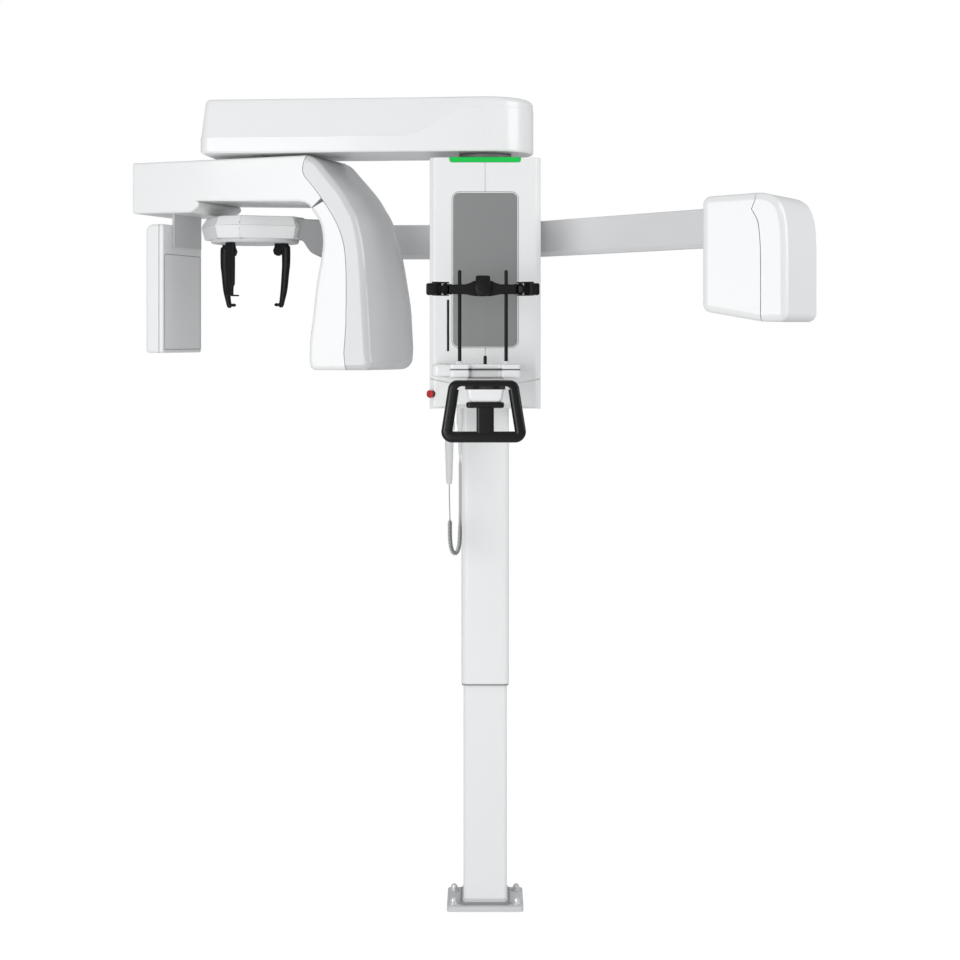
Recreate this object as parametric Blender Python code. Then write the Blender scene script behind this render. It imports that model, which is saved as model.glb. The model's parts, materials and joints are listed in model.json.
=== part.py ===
"""Panoramic and cephalometric X-ray machine, in metres, +Z up.

The origin is on the floor under the column's axis. The patient stands on the -Y side,
facing the mirror on the carriage. The overhead beam is swung out to -X, with the rotor
under it, round the head holder of the cephalometric arm.
"""

import math

import bmesh
import bpy
from mathutils import Matrix, Vector

GAP = 0.0003  # running gap between pieces that meet
WALL = 0.004  # plastic covers

# Column
CARRIAGE_BOTTOM = 1.4075  # how high the lift holds the carriage; what it carries is placed from here
MAST_WIDTH = 0.1216
MAST_DEPTH = 0.138
MAST_RADIUS = 0.012
MAST_WALL = 0.004
MAST_TOP = 1.37
SLEEVE_CLEARANCE = 0.0018
SLEEVE_WALL = 0.004
SLEEVE_BOTTOM = CARRIAGE_BOTTOM - 0.7755
SLEEVE_TOP = CARRIAGE_BOTTOM + 0.5725
PLATE_WIDTH = 0.214
PLATE_DEPTH = 0.190
PLATE_THICKNESS = 0.014
COLLAR_HEIGHT = 0.016
COLLAR_WALL = 0.003
BOLT_SPACING_X = 0.178
BOLT_SPACING_Y = 0.130
BOLT_RADIUS = 0.005

# Lift actuator inside the mast
ACTUATOR_MOTOR_RADIUS = 0.034
ACTUATOR_MOTOR_HEIGHT = 0.15
ACTUATOR_TUBE_RADIUS = 0.021
ACTUATOR_TUBE_TOP = 1.10
ACTUATOR_ROD_RADIUS = 0.013
ACTUATOR_ROD_BOTTOM = 0.80

# Carriage
CARRIAGE_HALF_WIDTH = 0.152
CARRIAGE_FRONT = -0.200
CARRIAGE_REAR = 0.030
CARRIAGE_TOP = CARRIAGE_BOTTOM + 0.688
CARRIAGE_SEAM = CARRIAGE_BOTTOM + 0.066
CARRIAGE_CHAMFER = 0.013
CARRIAGE_WALL = 0.005
FRAME_HALF_WIDTH = 0.100
FRAME_SHEET = 0.006
MIRROR_HALF_WIDTH = 0.0875
MIRROR_BOTTOM = CARRIAGE_BOTTOM + 0.1705
MIRROR_TOP = CARRIAGE_BOTTOM + 0.5905
MIRROR_RADIUS = 0.016
MIRROR_THICKNESS = 0.003
LIGHT_HALF_WIDTH = 0.0975
LIGHT_BOTTOM = CARRIAGE_BOTTOM + 0.6745
LIGHT_TOP = CARRIAGE_BOTTOM + 0.6925
LASER_X = -0.1014
LASER_HALF_WIDTH = 0.0035
LASER_BOTTOM = CARRIAGE_BOTTOM + 0.1571
LASER_TOP = CARRIAGE_BOTTOM + 0.2993

# Swing pivot of the overhead beam, in the top of the carriage
PIVOT_Y = -0.070
PIVOT_RADIUS = 0.030
PIVOT_BORE_DEPTH = 0.040
PIVOT_HEAD_HALF_WIDTH = 0.065
PIVOT_HEAD_FRONT = -0.165

# Chin shelf and what stands on it
SHELF_HALF_WIDTH = 0.0925
SHELF_FRONT = -0.460
SHELF_BOTTOM = CARRIAGE_BOTTOM + 0.0895
SHELF_TOP = CARRIAGE_BOTTOM + 0.1255
SHELF_NOTCH_HALF_WIDTH = 0.0425
SHELF_NOTCH_DEPTH = 0.018
PANEL_LEFT = -0.142
PANEL_FRONT = -0.350
SUPPORT_X = -0.006  # middle of the temple support
ROD_SPACING = 0.122
ROD_RADIUS = 0.0048
ROD_Y = -0.400
ROD_TOP = CARRIAGE_BOTTOM + 0.3725
ROD_DEPTH = 0.020  # how far each rod goes into the shelf
PEG_RADIUS = 0.0045
PEG_HEIGHT = 0.022

# Temple support, which slides on the two rods
TEMPLE_BOTTOM = CARRIAGE_BOTTOM + 0.3083
TEMPLE_TOP = CARRIAGE_BOTTOM + 0.3358
TEMPLE_HALF_DEPTH = 0.009
TEMPLE_HINGE = 0.098  # from the middle to each arm's hinge
TEMPLE_CHEEK = 0.0038  # the fork over and under each knuckle
KNUCKLE_RADIUS = 0.009
TEMPLE_PIN_RADIUS = 0.003
TEMPLE_ARM_REACH = 0.054  # sideways, from the hinge to the pad's outer face
TEMPLE_ARM_LENGTH = 0.080
KNOB_RADIUS = 0.0236
KNOB_DEPTH = 0.014
KNOB_Z = CARRIAGE_BOTTOM + 0.3253

# Patient handle under the shelf
HANDLE_X = -0.004
HANDLE_Y = -0.470
HANDLE_DEPTH = 0.024
HANDLE_TOP = CARRIAGE_BOTTOM + 0.0854
HANDLE_BOTTOM = CARRIAGE_BOTTOM - 0.0762
HANDLE_BAR = 0.029
HANDLE_TOP_HALF = 0.083
HANDLE_BOTTOM_HALF = 0.116
POST_HALF_WIDTH = 0.0227
POST_TOP = CARRIAGE_BOTTOM + 0.0129
BLOCK_HALF_WIDTH = 0.0485
BLOCK_BOTTOM = CARRIAGE_BOTTOM + 0.0288

# Hand switch on its curly cord
SWITCH_X = -0.0985
SWITCH_Y = -0.180
SWITCH_BOTTOM = CARRIAGE_BOTTOM - 0.2065
SWITCH_TOP = CARRIAGE_BOTTOM - 0.0225
SWITCH_RADIUS = 0.0117
BUTTON_RADIUS = 0.0075
BUTTON_TRAVEL = 0.003
HOLDER_BOTTOM = CARRIAGE_BOTTOM - 0.0575
HOLDER_TOP = CARRIAGE_BOTTOM - 0.0335
RELIEF_X = -0.0692
RELIEF_BOTTOM = CARRIAGE_BOTTOM - 0.1271
CORD_DIAMETER = 0.0026
COIL_DIAMETER = 0.0105
CORD_BLEND_Z = 1.1078  # where the straight lead ends and the curly part starts

# Emergency stop on the carriage's left chamfer
STOP_Z = CARRIAGE_BOTTOM + 0.0412
STOP_RADIUS = 0.0105
STOP_TRAVEL = 0.0025
STOP_SHIFT = 0.003  # from the chamfer's middle towards the front

# Overhead beam, in a frame on the pivot's axis with +X pointing back over the pivot
BEAM_YAW = math.radians(-5.2)
BEAM_REACH = 0.785
BEAM_HALF_WIDTH = 0.135
BEAM_BOTTOM = CARRIAGE_BOTTOM + 0.705
BEAM_SEAM = CARRIAGE_BOTTOM + 0.7505
BEAM_TOP = CARRIAGE_BOTTOM + 0.8565
BEAM_CORNER = 0.030
BEAM_LEAN = 0.014  # how far the cover's sides lean in

# Rotor, in a frame on its own axis with +X towards the X-ray tube
ROTOR_REACH = -0.648
ROTOR_OFFSET = 0.0563
ROTOR_YAW = math.radians(-18.2)
ROTOR_FRONT = -0.135
ROTOR_BACK = 0.145
ROTOR_TOP = CARRIAGE_BOTTOM + 0.6995
ROTOR_LEFT = -0.342
ROTOR_BLOCK_BOTTOM = CARRIAGE_BOTTOM + 0.548
ROTOR_RAISED_BOTTOM = CARRIAGE_BOTTOM + 0.5725
ROTOR_SHAFT_RADIUS = 0.024
ROTOR_PULLEY_RADIUS = 0.056
RAIL_SPACING = 0.104
RAIL_HEIGHT = 0.012
ROTOR_SLIDE_IN = 0.03
ROTOR_SLIDE_OUT = 0.02
TUBE_BOTTOM = CARRIAGE_BOTTOM + 0.1055
TUBE_SWELL = 0.062  # how far the tube cover's back stands out between its two sides
SENSOR_FACE = -0.244
SENSOR_THICKNESS = 0.0556
SENSOR_FRONT_THICKNESS = 0.0123
SENSOR_GROOVE = 0.0012
SENSOR_WIDTH = 0.240
SENSOR_BOTTOM = CARRIAGE_BOTTOM + 0.1512
SENSOR_TOP = CARRIAGE_BOTTOM + 0.5175

# Cephalometric arm, fixed to the back of the sleeve
ARM_FRONT = 0.243
ARM_THICKNESS = 0.040
ARM_BOTTOM = CARRIAGE_BOTTOM + 0.4285
ARM_TOP = CARRIAGE_BOTTOM + 0.5295
ARM_BEND_X = CARRIAGE_HALF_WIDTH - 0.1426  # the right arm passes close behind the carriage
BRACKET_LEFT = -0.055  # the arm's bracket on the sleeve
BRACKET_RIGHT = 0.004
BRACKET_STEP = 0.008  # lower and higher than the arm's own edges
BRACKET_ROOM = 0.002  # round the bracket in the rear cover's window
ARM_RIGHT_ANGLE = math.radians(-51.6)
NECK_RIGHT = -0.455
NECK_LEFT = -0.512
NECK_FRONT = 0.000

# Head holder (cephalostat) at the arm's left end
HOLDER_X = -0.663
HOLDER_Y = 0.075
HOLDER_YAW = math.radians(22)
HOLDER_HALF = 0.137
HOLDER_CORNER = 0.056
HOLDER_LOW = CARRIAGE_BOTTOM + 0.4751
HOLDER_SEAM = CARRIAGE_BOTTOM + 0.5115
HOLDER_HIGH = CARRIAGE_BOTTOM + 0.539
EAR_PLATE_RADIUS = 0.126
EAR_PLATE_BOTTOM = CARRIAGE_BOTTOM + 0.4641
EAR_ARM_REACH = 0.107
EAR_ARM_BOTTOM = CARRIAGE_BOTTOM + 0.2805
EAR_PLUG_Z = CARRIAGE_BOTTOM + 0.2885
EAR_PLUG_TIP = 0.066
NASION_REACH = 0.120
NASION_BOTTOM = CARRIAGE_BOTTOM + 0.3119

# Cephalometric X-ray head at the arm's right end, along the line to the head holder
HEAD_X = 0.684
HEAD_Y = -0.657
HEAD_YAW = math.radians(-28.5)
HEAD_HALF_LENGTH = 0.110
HEAD_HALF_WIDTH = 0.120
HEAD_BOTTOM = CARRIAGE_BOTTOM + 0.2345
HEAD_TOP = CARRIAGE_BOTTOM + 0.5485
HEAD_SEAM = 0.044  # from the middle, away from the head holder

WHITE = ((0.86, 0.87, 0.88), 0.25, 0.0)
SATIN_WHITE = ((0.78, 0.79, 0.80), 0.40, 0.0)
LIGHT_GREY = ((0.52, 0.53, 0.54), 0.40, 0.0)
MIRROR = ((0.35, 0.36, 0.37), 0.08, 1.0)
BLACK = ((0.015, 0.015, 0.016), 0.45, 0.0)
DARK = ((0.05, 0.05, 0.055), 0.35, 0.0)
GREEN = ((0.03, 0.50, 0.10), 0.30, 0.0)
RED = ((0.50, 0.01, 0.015), 0.30, 0.0)
STEEL = ((0.45, 0.45, 0.46), 0.35, 1.0)
ALUMINIUM = ((0.66, 0.67, 0.68), 0.35, 1.0)


# ---------------------------------------------------------------- modelling helpers


def loft(rings, cyclic=False):
    """A closed skin over rings of equally many points, capped unless it closes on itself."""
    bm = bmesh.new()
    loops = [[bm.verts.new(p) for p in ring] for ring in rings]
    pairs = list(zip(loops, loops[1:]))
    if cyclic:
        pairs.append((loops[-1], loops[0]))
    for low, high in pairs:
        for i in range(len(low)):
            j = (i + 1) % len(low)
            bm.faces.new((low[i], low[j], high[j], high[i]))
    if not cyclic:
        bm.faces.new(loops[0])
        bm.faces.new(loops[-1])
    bmesh.ops.recalc_face_normals(bm, faces=bm.faces)
    return bm


def lifted(points, height, plane="XY"):
    """Plane points placed in space: XY at a height, XZ or YZ at a distance along the third axis."""
    if plane == "XY":
        return [(a, b, height) for a, b in points]
    if plane == "XZ":
        return [(a, height, b) for a, b in points]
    return [(height, a, b) for a, b in points]


def prism(points, low, high, plane="XY"):
    return loft([lifted(points, low, plane), lifted(points, high, plane)])


def ring_prism(outer, inner, low, high, plane="XY"):
    """A prism with a hole, both outlines having equally many points."""
    rings = [(outer, low), (outer, high), (inner, high), (inner, low)]
    return loft([lifted(points, at, plane) for points, at in rings], cyclic=True)


def box(low, high):
    corners = [(low[0], low[1]), (high[0], low[1]), (high[0], high[1]), (low[0], high[1])]
    return prism(corners, low[2], high[2])


def circle(radius, steps=24, x=0.0, y=0.0):
    angles = [2 * math.pi * i / steps for i in range(steps)]
    return [(x + radius * math.cos(a), y + radius * math.sin(a)) for a in angles]


def rounded(corners, radius, steps=4):
    """A convex or concave outline with each corner replaced by an arc."""
    points = []
    for i, corner in enumerate(corners):
        here = Vector(corner)
        before = (Vector(corners[i - 1]) - here).normalized()
        after = (Vector(corners[(i + 1) % len(corners)]) - here).normalized()
        half = before.angle(after) / 2
        middle = here + (before + after).normalized() * (radius / math.sin(half))
        start = here + before * (radius / math.tan(half)) - middle
        turn = start.angle_signed(here + after * (radius / math.tan(half)) - middle)
        for k in range(steps + 1):
            spoke = start.copy()
            spoke.rotate(Matrix.Rotation(-turn * k / steps, 2))
            points.append(tuple(middle + spoke))
    return points


def rectangle(half_x, half_y, radius, y=0.0, steps=4):
    corners = [(-half_x, y - half_y), (half_x, y - half_y), (half_x, y + half_y), (-half_x, y + half_y)]
    return rounded(corners, radius, steps)


def inset(points, walls):
    """An anticlockwise outline with each edge moved in by its own wall, or out if negative."""
    lines = []
    for i, wall in enumerate(walls):
        a = Vector(points[i])
        along = (Vector(points[(i + 1) % len(points)]) - a).normalized()
        inward = Vector((-along.y, along.x))
        lines.append((a + inward * wall, along, inward))
    out = []
    for i, (point, along, inward) in enumerate(lines):
        other, before, _ = lines[i - 1]
        cross = before.cross(along)
        if abs(cross) < 0.05:
            out.append(tuple(point))
            continue
        out.append(tuple(other + before * ((point - other).cross(along) / cross)))
    return out


def turned(profile, steps=24):
    """A solid of revolution about Z from (radius, height) pairs, from bottom to top."""
    return loft([lifted(circle(r, steps), z) for r, z in profile])


def pipe(outer, inner, low, high, steps=24):
    return ring_prism(circle(outer, steps), circle(inner, steps), low, high)


def moved(bm, offset=(0, 0, 0), turn=None):
    matrix = Matrix.Translation(offset)
    if turn is not None:
        matrix = matrix @ turn
    bmesh.ops.transform(bm, matrix=matrix, verts=bm.verts)
    return bm


def gathered(pieces):
    """Separate solids in one mesh, as one Boolean tool."""
    whole = bmesh.new()
    for bm in pieces:
        mesh = bpy.data.meshes.new("piece")
        bm.to_mesh(mesh)
        bm.free()
        whole.from_mesh(mesh)
        bpy.data.meshes.remove(mesh)
    return whole


def finish_of(name, look):
    colour, roughness, metallic = look
    material = bpy.data.materials.new(name)
    material.use_nodes = True
    shader = material.node_tree.nodes["Principled BSDF"]
    shader.inputs["Base Color"].default_value = (*colour, 1.0)
    shader.inputs["Roughness"].default_value = roughness
    shader.inputs["Metallic"].default_value = metallic
    return material


def mesh_object(name, bm, parent=None):
    mesh = bpy.data.meshes.new(name)
    bm.to_mesh(mesh)
    bm.free()
    obj = bpy.data.objects.new(name, mesh)
    bpy.context.collection.objects.link(obj)
    obj.parent = parent
    return obj


def part(name, bm, look, parent=None, smooth=True):
    """One named piece with its own material, in its parent's frame."""
    obj = mesh_object(name, bm, parent)
    obj.data.materials.append(finish_of(name, look))
    if smooth:
        obj.data.shade_smooth()
        obj.data.set_sharp_from_angle(angle=math.radians(35))
    return obj


def boolean(obj, bm, operation):
    """Cut a shape out of an object, or join it on."""
    tool = mesh_object(f"{obj.name}_{operation.lower()}_{len(obj.modifiers)}", bm, obj.parent)
    tool.hide_render = True
    tool.display_type = "WIRE"
    modifier = obj.modifiers.new(tool.name, "BOOLEAN")
    modifier.operation = operation
    modifier.solver = "EXACT"
    modifier.object = tool


def cut(obj, bm):
    boolean(obj, bm, "DIFFERENCE")


def join(obj, bm):
    boolean(obj, bm, "UNION")


def empty(name, location, yaw=0.0, parent=None):
    """A frame for a moving body, on its joint's axis."""
    obj = bpy.data.objects.new(name, None)
    bpy.context.collection.objects.link(obj)
    obj.parent = parent
    obj.location = location
    obj.rotation_euler = (0, 0, yaw)
    return obj


def smooth_curve(points, spacing):
    """Points a given distance apart along a smooth curve through the given ones."""
    knots = [Vector(p) for p in points]
    knots = [2 * knots[0] - knots[1]] + knots + [2 * knots[-1] - knots[-2]]
    fine = []
    for a, b, c, d in zip(knots, knots[1:], knots[2:], knots[3:]):
        for k in range(40):
            t = k / 40
            bend = 2 * a - 5 * b + 4 * c - d
            twist = 3 * b - a - 3 * c + d
            fine.append((2 * b + (c - a) * t + bend * t**2 + twist * t**3) / 2)
    fine.append(knots[-2])
    out = [fine[0]]
    for p in fine:
        if (p - out[-1]).length >= spacing:
            out.append(p)
    if (fine[-1] - out[-1]).length < spacing / 2:
        out.pop()
    out.append(fine[-1])
    return out


def tube(name, route, diameter, spacing, look, parent):
    """A round tube along a smooth route, as a bevelled curve with filled caps."""
    curve = bpy.data.curves.new(name, "CURVE")
    curve.dimensions = "3D"
    curve.bevel_depth = diameter / 2
    curve.bevel_resolution = 2
    curve.use_fill_caps = True
    points = smooth_curve(route, spacing)
    spline = curve.splines.new("POLY")
    spline.points.add(len(points) - 1)
    for place, point in zip(spline.points, points):
        place.co = (*point, 1.0)
    obj = bpy.data.objects.new(name, curve)
    bpy.context.collection.objects.link(obj)
    obj.parent = parent
    curve.materials.append(finish_of(name, look))
    return obj


# ---------------------------------------------------------------- column


def mast_outline(grow=0.0):
    return rectangle(MAST_WIDTH / 2 + grow, MAST_DEPTH / 2 + grow, MAST_RADIUS + grow)


def sleeve_outline(grow=0.0):
    return mast_outline(SLEEVE_CLEARANCE + SLEEVE_WALL + grow)


def sleeve_half_width():
    return MAST_WIDTH / 2 + SLEEVE_CLEARANCE + SLEEVE_WALL


def sleeve_half_depth():
    return MAST_DEPTH / 2 + SLEEVE_CLEARANCE + SLEEVE_WALL


def bolt_places():
    return [(x * BOLT_SPACING_X / 2, y * BOLT_SPACING_Y / 2) for x in (-1, 1) for y in (-1, 1)]


def build_foot():
    plate = part(
        "base_plate",
        prism(rectangle(PLATE_WIDTH / 2, PLATE_DEPTH / 2, 0.012), 0, PLATE_THICKNESS),
        SATIN_WHITE,
    )
    for x, y in bolt_places():
        hole = circle(BOLT_RADIUS + GAP, 16, x, y)
        cut(plate, prism(hole, -0.01, PLATE_THICKNESS + 0.01))
    seat = PLATE_THICKNESS + GAP
    profile = [
        (BOLT_RADIUS, 0.001),
        (BOLT_RADIUS, seat),
        (0.014, seat),
        (0.014, seat + 0.003),
        (0.0095, seat + 0.003),
        (0.0095, seat + 0.010),
        (0.0075, seat + 0.015),
        (0.004, seat + 0.018),
    ]
    for i, (x, y) in enumerate(bolt_places(), 1):
        part(f"anchor_bolt_{i}", moved(turned(profile, 16), (x, y, 0)), STEEL)
    collar = (mast_outline(GAP + COLLAR_WALL), mast_outline(GAP))
    join(plate, ring_prism(*collar, PLATE_THICKNESS - 0.004, PLATE_THICKNESS + COLLAR_HEIGHT))


def build_mast():
    seat = PLATE_THICKNESS + GAP
    mast = part("mast", ring_prism(mast_outline(), mast_outline(-MAST_WALL), seat, MAST_TOP), WHITE)
    pad = SLEEVE_CLEARANCE - GAP
    half_x = MAST_WIDTH / 2
    half_y = MAST_DEPTH / 2
    root = MAST_WALL / 2
    low, high = MAST_TOP - 0.09, MAST_TOP - 0.01
    pads = []
    for side in (-1, 1):
        for k in (-1, 1):
            xs = sorted((side * (half_x - root), side * (half_x + pad)))
            ys = sorted((side * (half_y - root), side * (half_y + pad)))
            pads.append(box((xs[0], k * 0.035 - 0.012, low), (xs[1], k * 0.035 + 0.012, high)))
            pads.append(box((k * 0.030 - 0.012, ys[0], low), (k * 0.030 + 0.012, ys[1], high)))
    join(mast, gathered(pads))


def build_actuator(lift):
    seat = PLATE_THICKNESS + GAP
    top = seat + ACTUATOR_MOTOR_HEIGHT
    profile = [
        (ACTUATOR_MOTOR_RADIUS, seat),
        (ACTUATOR_MOTOR_RADIUS, top),
        (ACTUATOR_TUBE_RADIUS, top),
        (ACTUATOR_TUBE_RADIUS, ACTUATOR_TUBE_TOP),
    ]
    body = part("lift_actuator", turned(profile, 32), DARK)
    bore = circle(ACTUATOR_ROD_RADIUS + GAP)
    cut(body, prism(bore, top + 0.01, ACTUATOR_TUBE_TOP + 0.01))
    rod = [(ACTUATOR_ROD_RADIUS, ACTUATOR_ROD_BOTTOM), (ACTUATOR_ROD_RADIUS, SLEEVE_TOP)]
    part("lift_rod", turned(rod), ALUMINIUM, lift)


def build_sleeve(lift):
    part(
        "column_sleeve",
        ring_prism(sleeve_outline(), sleeve_outline(-SLEEVE_WALL), SLEEVE_BOTTOM, SLEEVE_TOP),
        WHITE,
        lift,
    )


# ---------------------------------------------------------------- carriage


def carriage_outline(wall=0.0):
    """The carriage's open-backed plan outline, anticlockwise from its rear left corner."""
    half, front = CARRIAGE_HALF_WIDTH - wall, CARRIAGE_FRONT + wall
    chamfer = CARRIAGE_CHAMFER - wall * (2 - math.sqrt(2))
    return [
        (-half, CARRIAGE_REAR),
        (-half, front + chamfer),
        (-half + chamfer, front),
        (half - chamfer, front),
        (half, front + chamfer),
        (half, CARRIAGE_REAR),
    ]


def carriage_hollow():
    """What is cut out of the carriage's covers, open at the back."""
    hollow = carriage_outline(CARRIAGE_WALL)
    hollow[0] = (hollow[0][0], CARRIAGE_REAR + 0.01)
    hollow[-1] = (hollow[-1][0], CARRIAGE_REAR + 0.01)
    return hollow


def build_carriage_covers(lift):
    cover = part("front_cover", prism(carriage_outline(), CARRIAGE_SEAM, CARRIAGE_TOP), WHITE, lift)
    cut(cover, prism(carriage_hollow(), CARRIAGE_SEAM - 0.01, CARRIAGE_TOP - WALL))
    hole = circle(PIVOT_RADIUS + 0.002, 32, 0, PIVOT_Y)
    cut(cover, prism(hole, CARRIAGE_TOP - 0.02, CARRIAGE_TOP + 0.01))
    mirror = rounded(
        [
            (-MIRROR_HALF_WIDTH, MIRROR_BOTTOM),
            (MIRROR_HALF_WIDTH, MIRROR_BOTTOM),
            (MIRROR_HALF_WIDTH, MIRROR_TOP),
            (-MIRROR_HALF_WIDTH, MIRROR_TOP),
        ],
        MIRROR_RADIUS,
    )
    pocket = inset(mirror, [-GAP] * len(mirror))
    floor = CARRIAGE_FRONT + MIRROR_THICKNESS + GAP
    cut(cover, prism(pocket, CARRIAGE_FRONT - 0.01, floor, "XZ"))
    part("mirror", prism(mirror, CARRIAGE_FRONT, floor - GAP, "XZ"), MIRROR, lift)
    slot = (LASER_HALF_WIDTH, 0.002)
    cut(
        cover,
        box(
            (LASER_X - slot[0], CARRIAGE_FRONT - 0.01, LASER_BOTTOM),
            (LASER_X + slot[0], CARRIAGE_FRONT + slot[1], LASER_TOP),
        ),
    )
    cut(
        cover,
        box(
            (-LIGHT_HALF_WIDTH - GAP, CARRIAGE_FRONT - 0.01, LIGHT_BOTTOM - GAP),
            (LIGHT_HALF_WIDTH + GAP, CARRIAGE_FRONT + 0.01, LIGHT_TOP + 0.01),
        ),
    )
    light = rounded(
        [
            (-LIGHT_HALF_WIDTH, LIGHT_BOTTOM),
            (LIGHT_HALF_WIDTH, LIGHT_BOTTOM),
            (LIGHT_HALF_WIDTH, LIGHT_TOP),
            (-LIGHT_HALF_WIDTH, LIGHT_TOP),
        ],
        0.004,
    )
    part(
        "status_light",
        prism(light, CARRIAGE_FRONT - 0.001, CARRIAGE_FRONT + CARRIAGE_WALL, "XZ"),
        GREEN,
        lift,
    )


def build_lower_cover(lift):
    """A tray under the carriage, open at the top and the back, with a cut-out for the column."""
    top = CARRIAGE_SEAM - GAP
    tray = part("lower_cover", prism(carriage_outline(), CARRIAGE_BOTTOM, top), WHITE, lift)
    cut(tray, prism(carriage_hollow(), CARRIAGE_BOTTOM + WALL, top + 0.01))
    half = sleeve_half_width() + 0.002
    front = -sleeve_half_depth() - 0.002
    column = [(-half, front), (half, front), (half, CARRIAGE_REAR + 0.01), (-half, CARRIAGE_REAR + 0.01)]
    cut(tray, prism(column, CARRIAGE_BOTTOM - 0.01, top + 0.02))
    return tray


def build_rear_cover(lift):
    """A hat section that closes the carriage's back and passes behind the column."""
    hat = sleeve_half_width() + 2 * GAP
    outer = CARRIAGE_HALF_WIDTH - CARRIAGE_WALL - GAP
    rear, crown = CARRIAGE_REAR, sleeve_half_depth() + 2 * GAP + WALL
    wall = 0.003
    right = [
        (hat, rear - WALL),
        (outer, rear - WALL),
        (outer, rear),
        (hat + wall, rear),
        (hat + wall, crown),
    ]
    left = [(-x, y) for x, y in right[::-1]]
    inside = [(-hat, crown - WALL), (hat, crown - WALL)]
    low = CARRIAGE_BOTTOM + WALL + GAP
    high = CARRIAGE_TOP - WALL - GAP
    cover = part("rear_cover", prism(right + left + inside, low, high), WHITE, lift)
    window = box(
        (BRACKET_LEFT - BRACKET_ROOM, 0, ARM_BOTTOM + BRACKET_STEP - BRACKET_ROOM),
        (BRACKET_RIGHT + BRACKET_ROOM, crown + 0.01, ARM_TOP - BRACKET_STEP + BRACKET_ROOM),
    )
    cut(cover, window)


def build_carriage_frame(lift):
    """Folded sheet between the sleeve's front and the front cover."""
    back = -sleeve_half_depth() - GAP
    front = CARRIAGE_FRONT + CARRIAGE_WALL + GAP
    half, inner = FRAME_HALF_WIDTH, FRAME_HALF_WIDTH - FRAME_SHEET
    section = [
        (-half, front),
        (-inner, front),
        (-inner, back - FRAME_SHEET),
        (inner, back - FRAME_SHEET),
        (inner, front),
        (half, front),
        (half, back),
        (-half, back),
    ]
    low, high = CARRIAGE_SEAM + 0.02, SLEEVE_TOP - GAP
    part("carriage_frame", prism(section, low, high), STEEL, lift, smooth=False)


def build_pivot_head(lift):
    top = CARRIAGE_TOP - WALL - GAP
    low = SLEEVE_TOP + GAP
    rear = sleeve_half_depth() - 0.005
    head = part(
        "pivot_head",
        box((-PIVOT_HEAD_HALF_WIDTH, PIVOT_HEAD_FRONT, low), (PIVOT_HEAD_HALF_WIDTH, rear, top)),
        ALUMINIUM,
        lift,
    )
    seat = top - PIVOT_BORE_DEPTH
    bore = circle(PIVOT_RADIUS + GAP, 32, 0, PIVOT_Y)
    cut(head, prism(bore, seat, top + 0.01))


# ---------------------------------------------------------------- shelf, handle, temple support


def build_shelf(lift):
    back = CARRIAGE_FRONT - GAP
    corners = [
        (-SHELF_HALF_WIDTH, back),
        (-SHELF_HALF_WIDTH, SHELF_FRONT),
        (SHELF_HALF_WIDTH, SHELF_FRONT),
        (SHELF_HALF_WIDTH, back),
    ]
    shelf = part("chin_shelf", prism(rounded(corners, 0.008), SHELF_BOTTOM, SHELF_TOP), WHITE, lift)
    half = SHELF_NOTCH_HALF_WIDTH
    cut(
        shelf,
        box(
            (-half, SHELF_FRONT - 0.01, SHELF_BOTTOM - 0.01),
            (half, SHELF_FRONT + SHELF_NOTCH_DEPTH, SHELF_TOP + 0.01),
        ),
    )
    panel_right = -SHELF_HALF_WIDTH + 0.010
    join(shelf, box((PANEL_LEFT, PANEL_FRONT, SHELF_BOTTOM), (panel_right, back, SHELF_TOP)))
    floor = SHELF_TOP + GAP
    peg = [
        (PEG_RADIUS, floor),
        (PEG_RADIUS, floor + PEG_HEIGHT - 0.002),
        (PEG_RADIUS - 0.002, floor + PEG_HEIGHT),
    ]
    part("bite_peg", moved(turned(peg, 16), (0, ROD_Y, 0)), BLACK, lift)
    for name, side in (("left_rod", -1), ("right_rod", 1)):
        place = (SUPPORT_X + side * ROD_SPACING / 2, ROD_Y, 0)
        rod = [(ROD_RADIUS, SHELF_TOP - ROD_DEPTH), (ROD_RADIUS, ROD_TOP - 0.003)]
        rod.append((ROD_RADIUS - 0.002, ROD_TOP))
        part(name, moved(turned(rod, 16), place), BLACK, lift)
        collar = [(ROD_RADIUS + 0.0035, SHELF_TOP - 0.005), (ROD_RADIUS + 0.0035, SHELF_TOP + 0.008)]
        join(shelf, moved(turned(collar, 16), place))
        socket = circle(ROD_RADIUS + GAP, 16, place[0], ROD_Y)
        cut(shelf, prism(socket, SHELF_TOP - ROD_DEPTH - GAP, SHELF_TOP + 0.02))


def temple_outline():
    """Front outline of the temple bar, with a fork at each end and a tab in the middle."""
    fork_tip = TEMPLE_HINGE + KNUCKLE_RADIUS
    fork_root = TEMPLE_HINGE - KNUCKLE_RADIUS - 0.001
    cheek = TEMPLE_CHEEK
    tab = 0.019
    low, high = TEMPLE_BOTTOM, TEMPLE_TOP
    right = [
        (fork_tip, low),
        (fork_tip, low + cheek),
        (fork_root, low + cheek),
        (fork_root, high - cheek),
        (fork_tip, high - cheek),
        (fork_tip, high),
        (tab, high),
        (tab - 0.003, high + 0.021),
    ]
    left = [(-x, z) for x, z in right[::-1]]
    return [(x + SUPPORT_X, z) for x, z in right + left]


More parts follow.
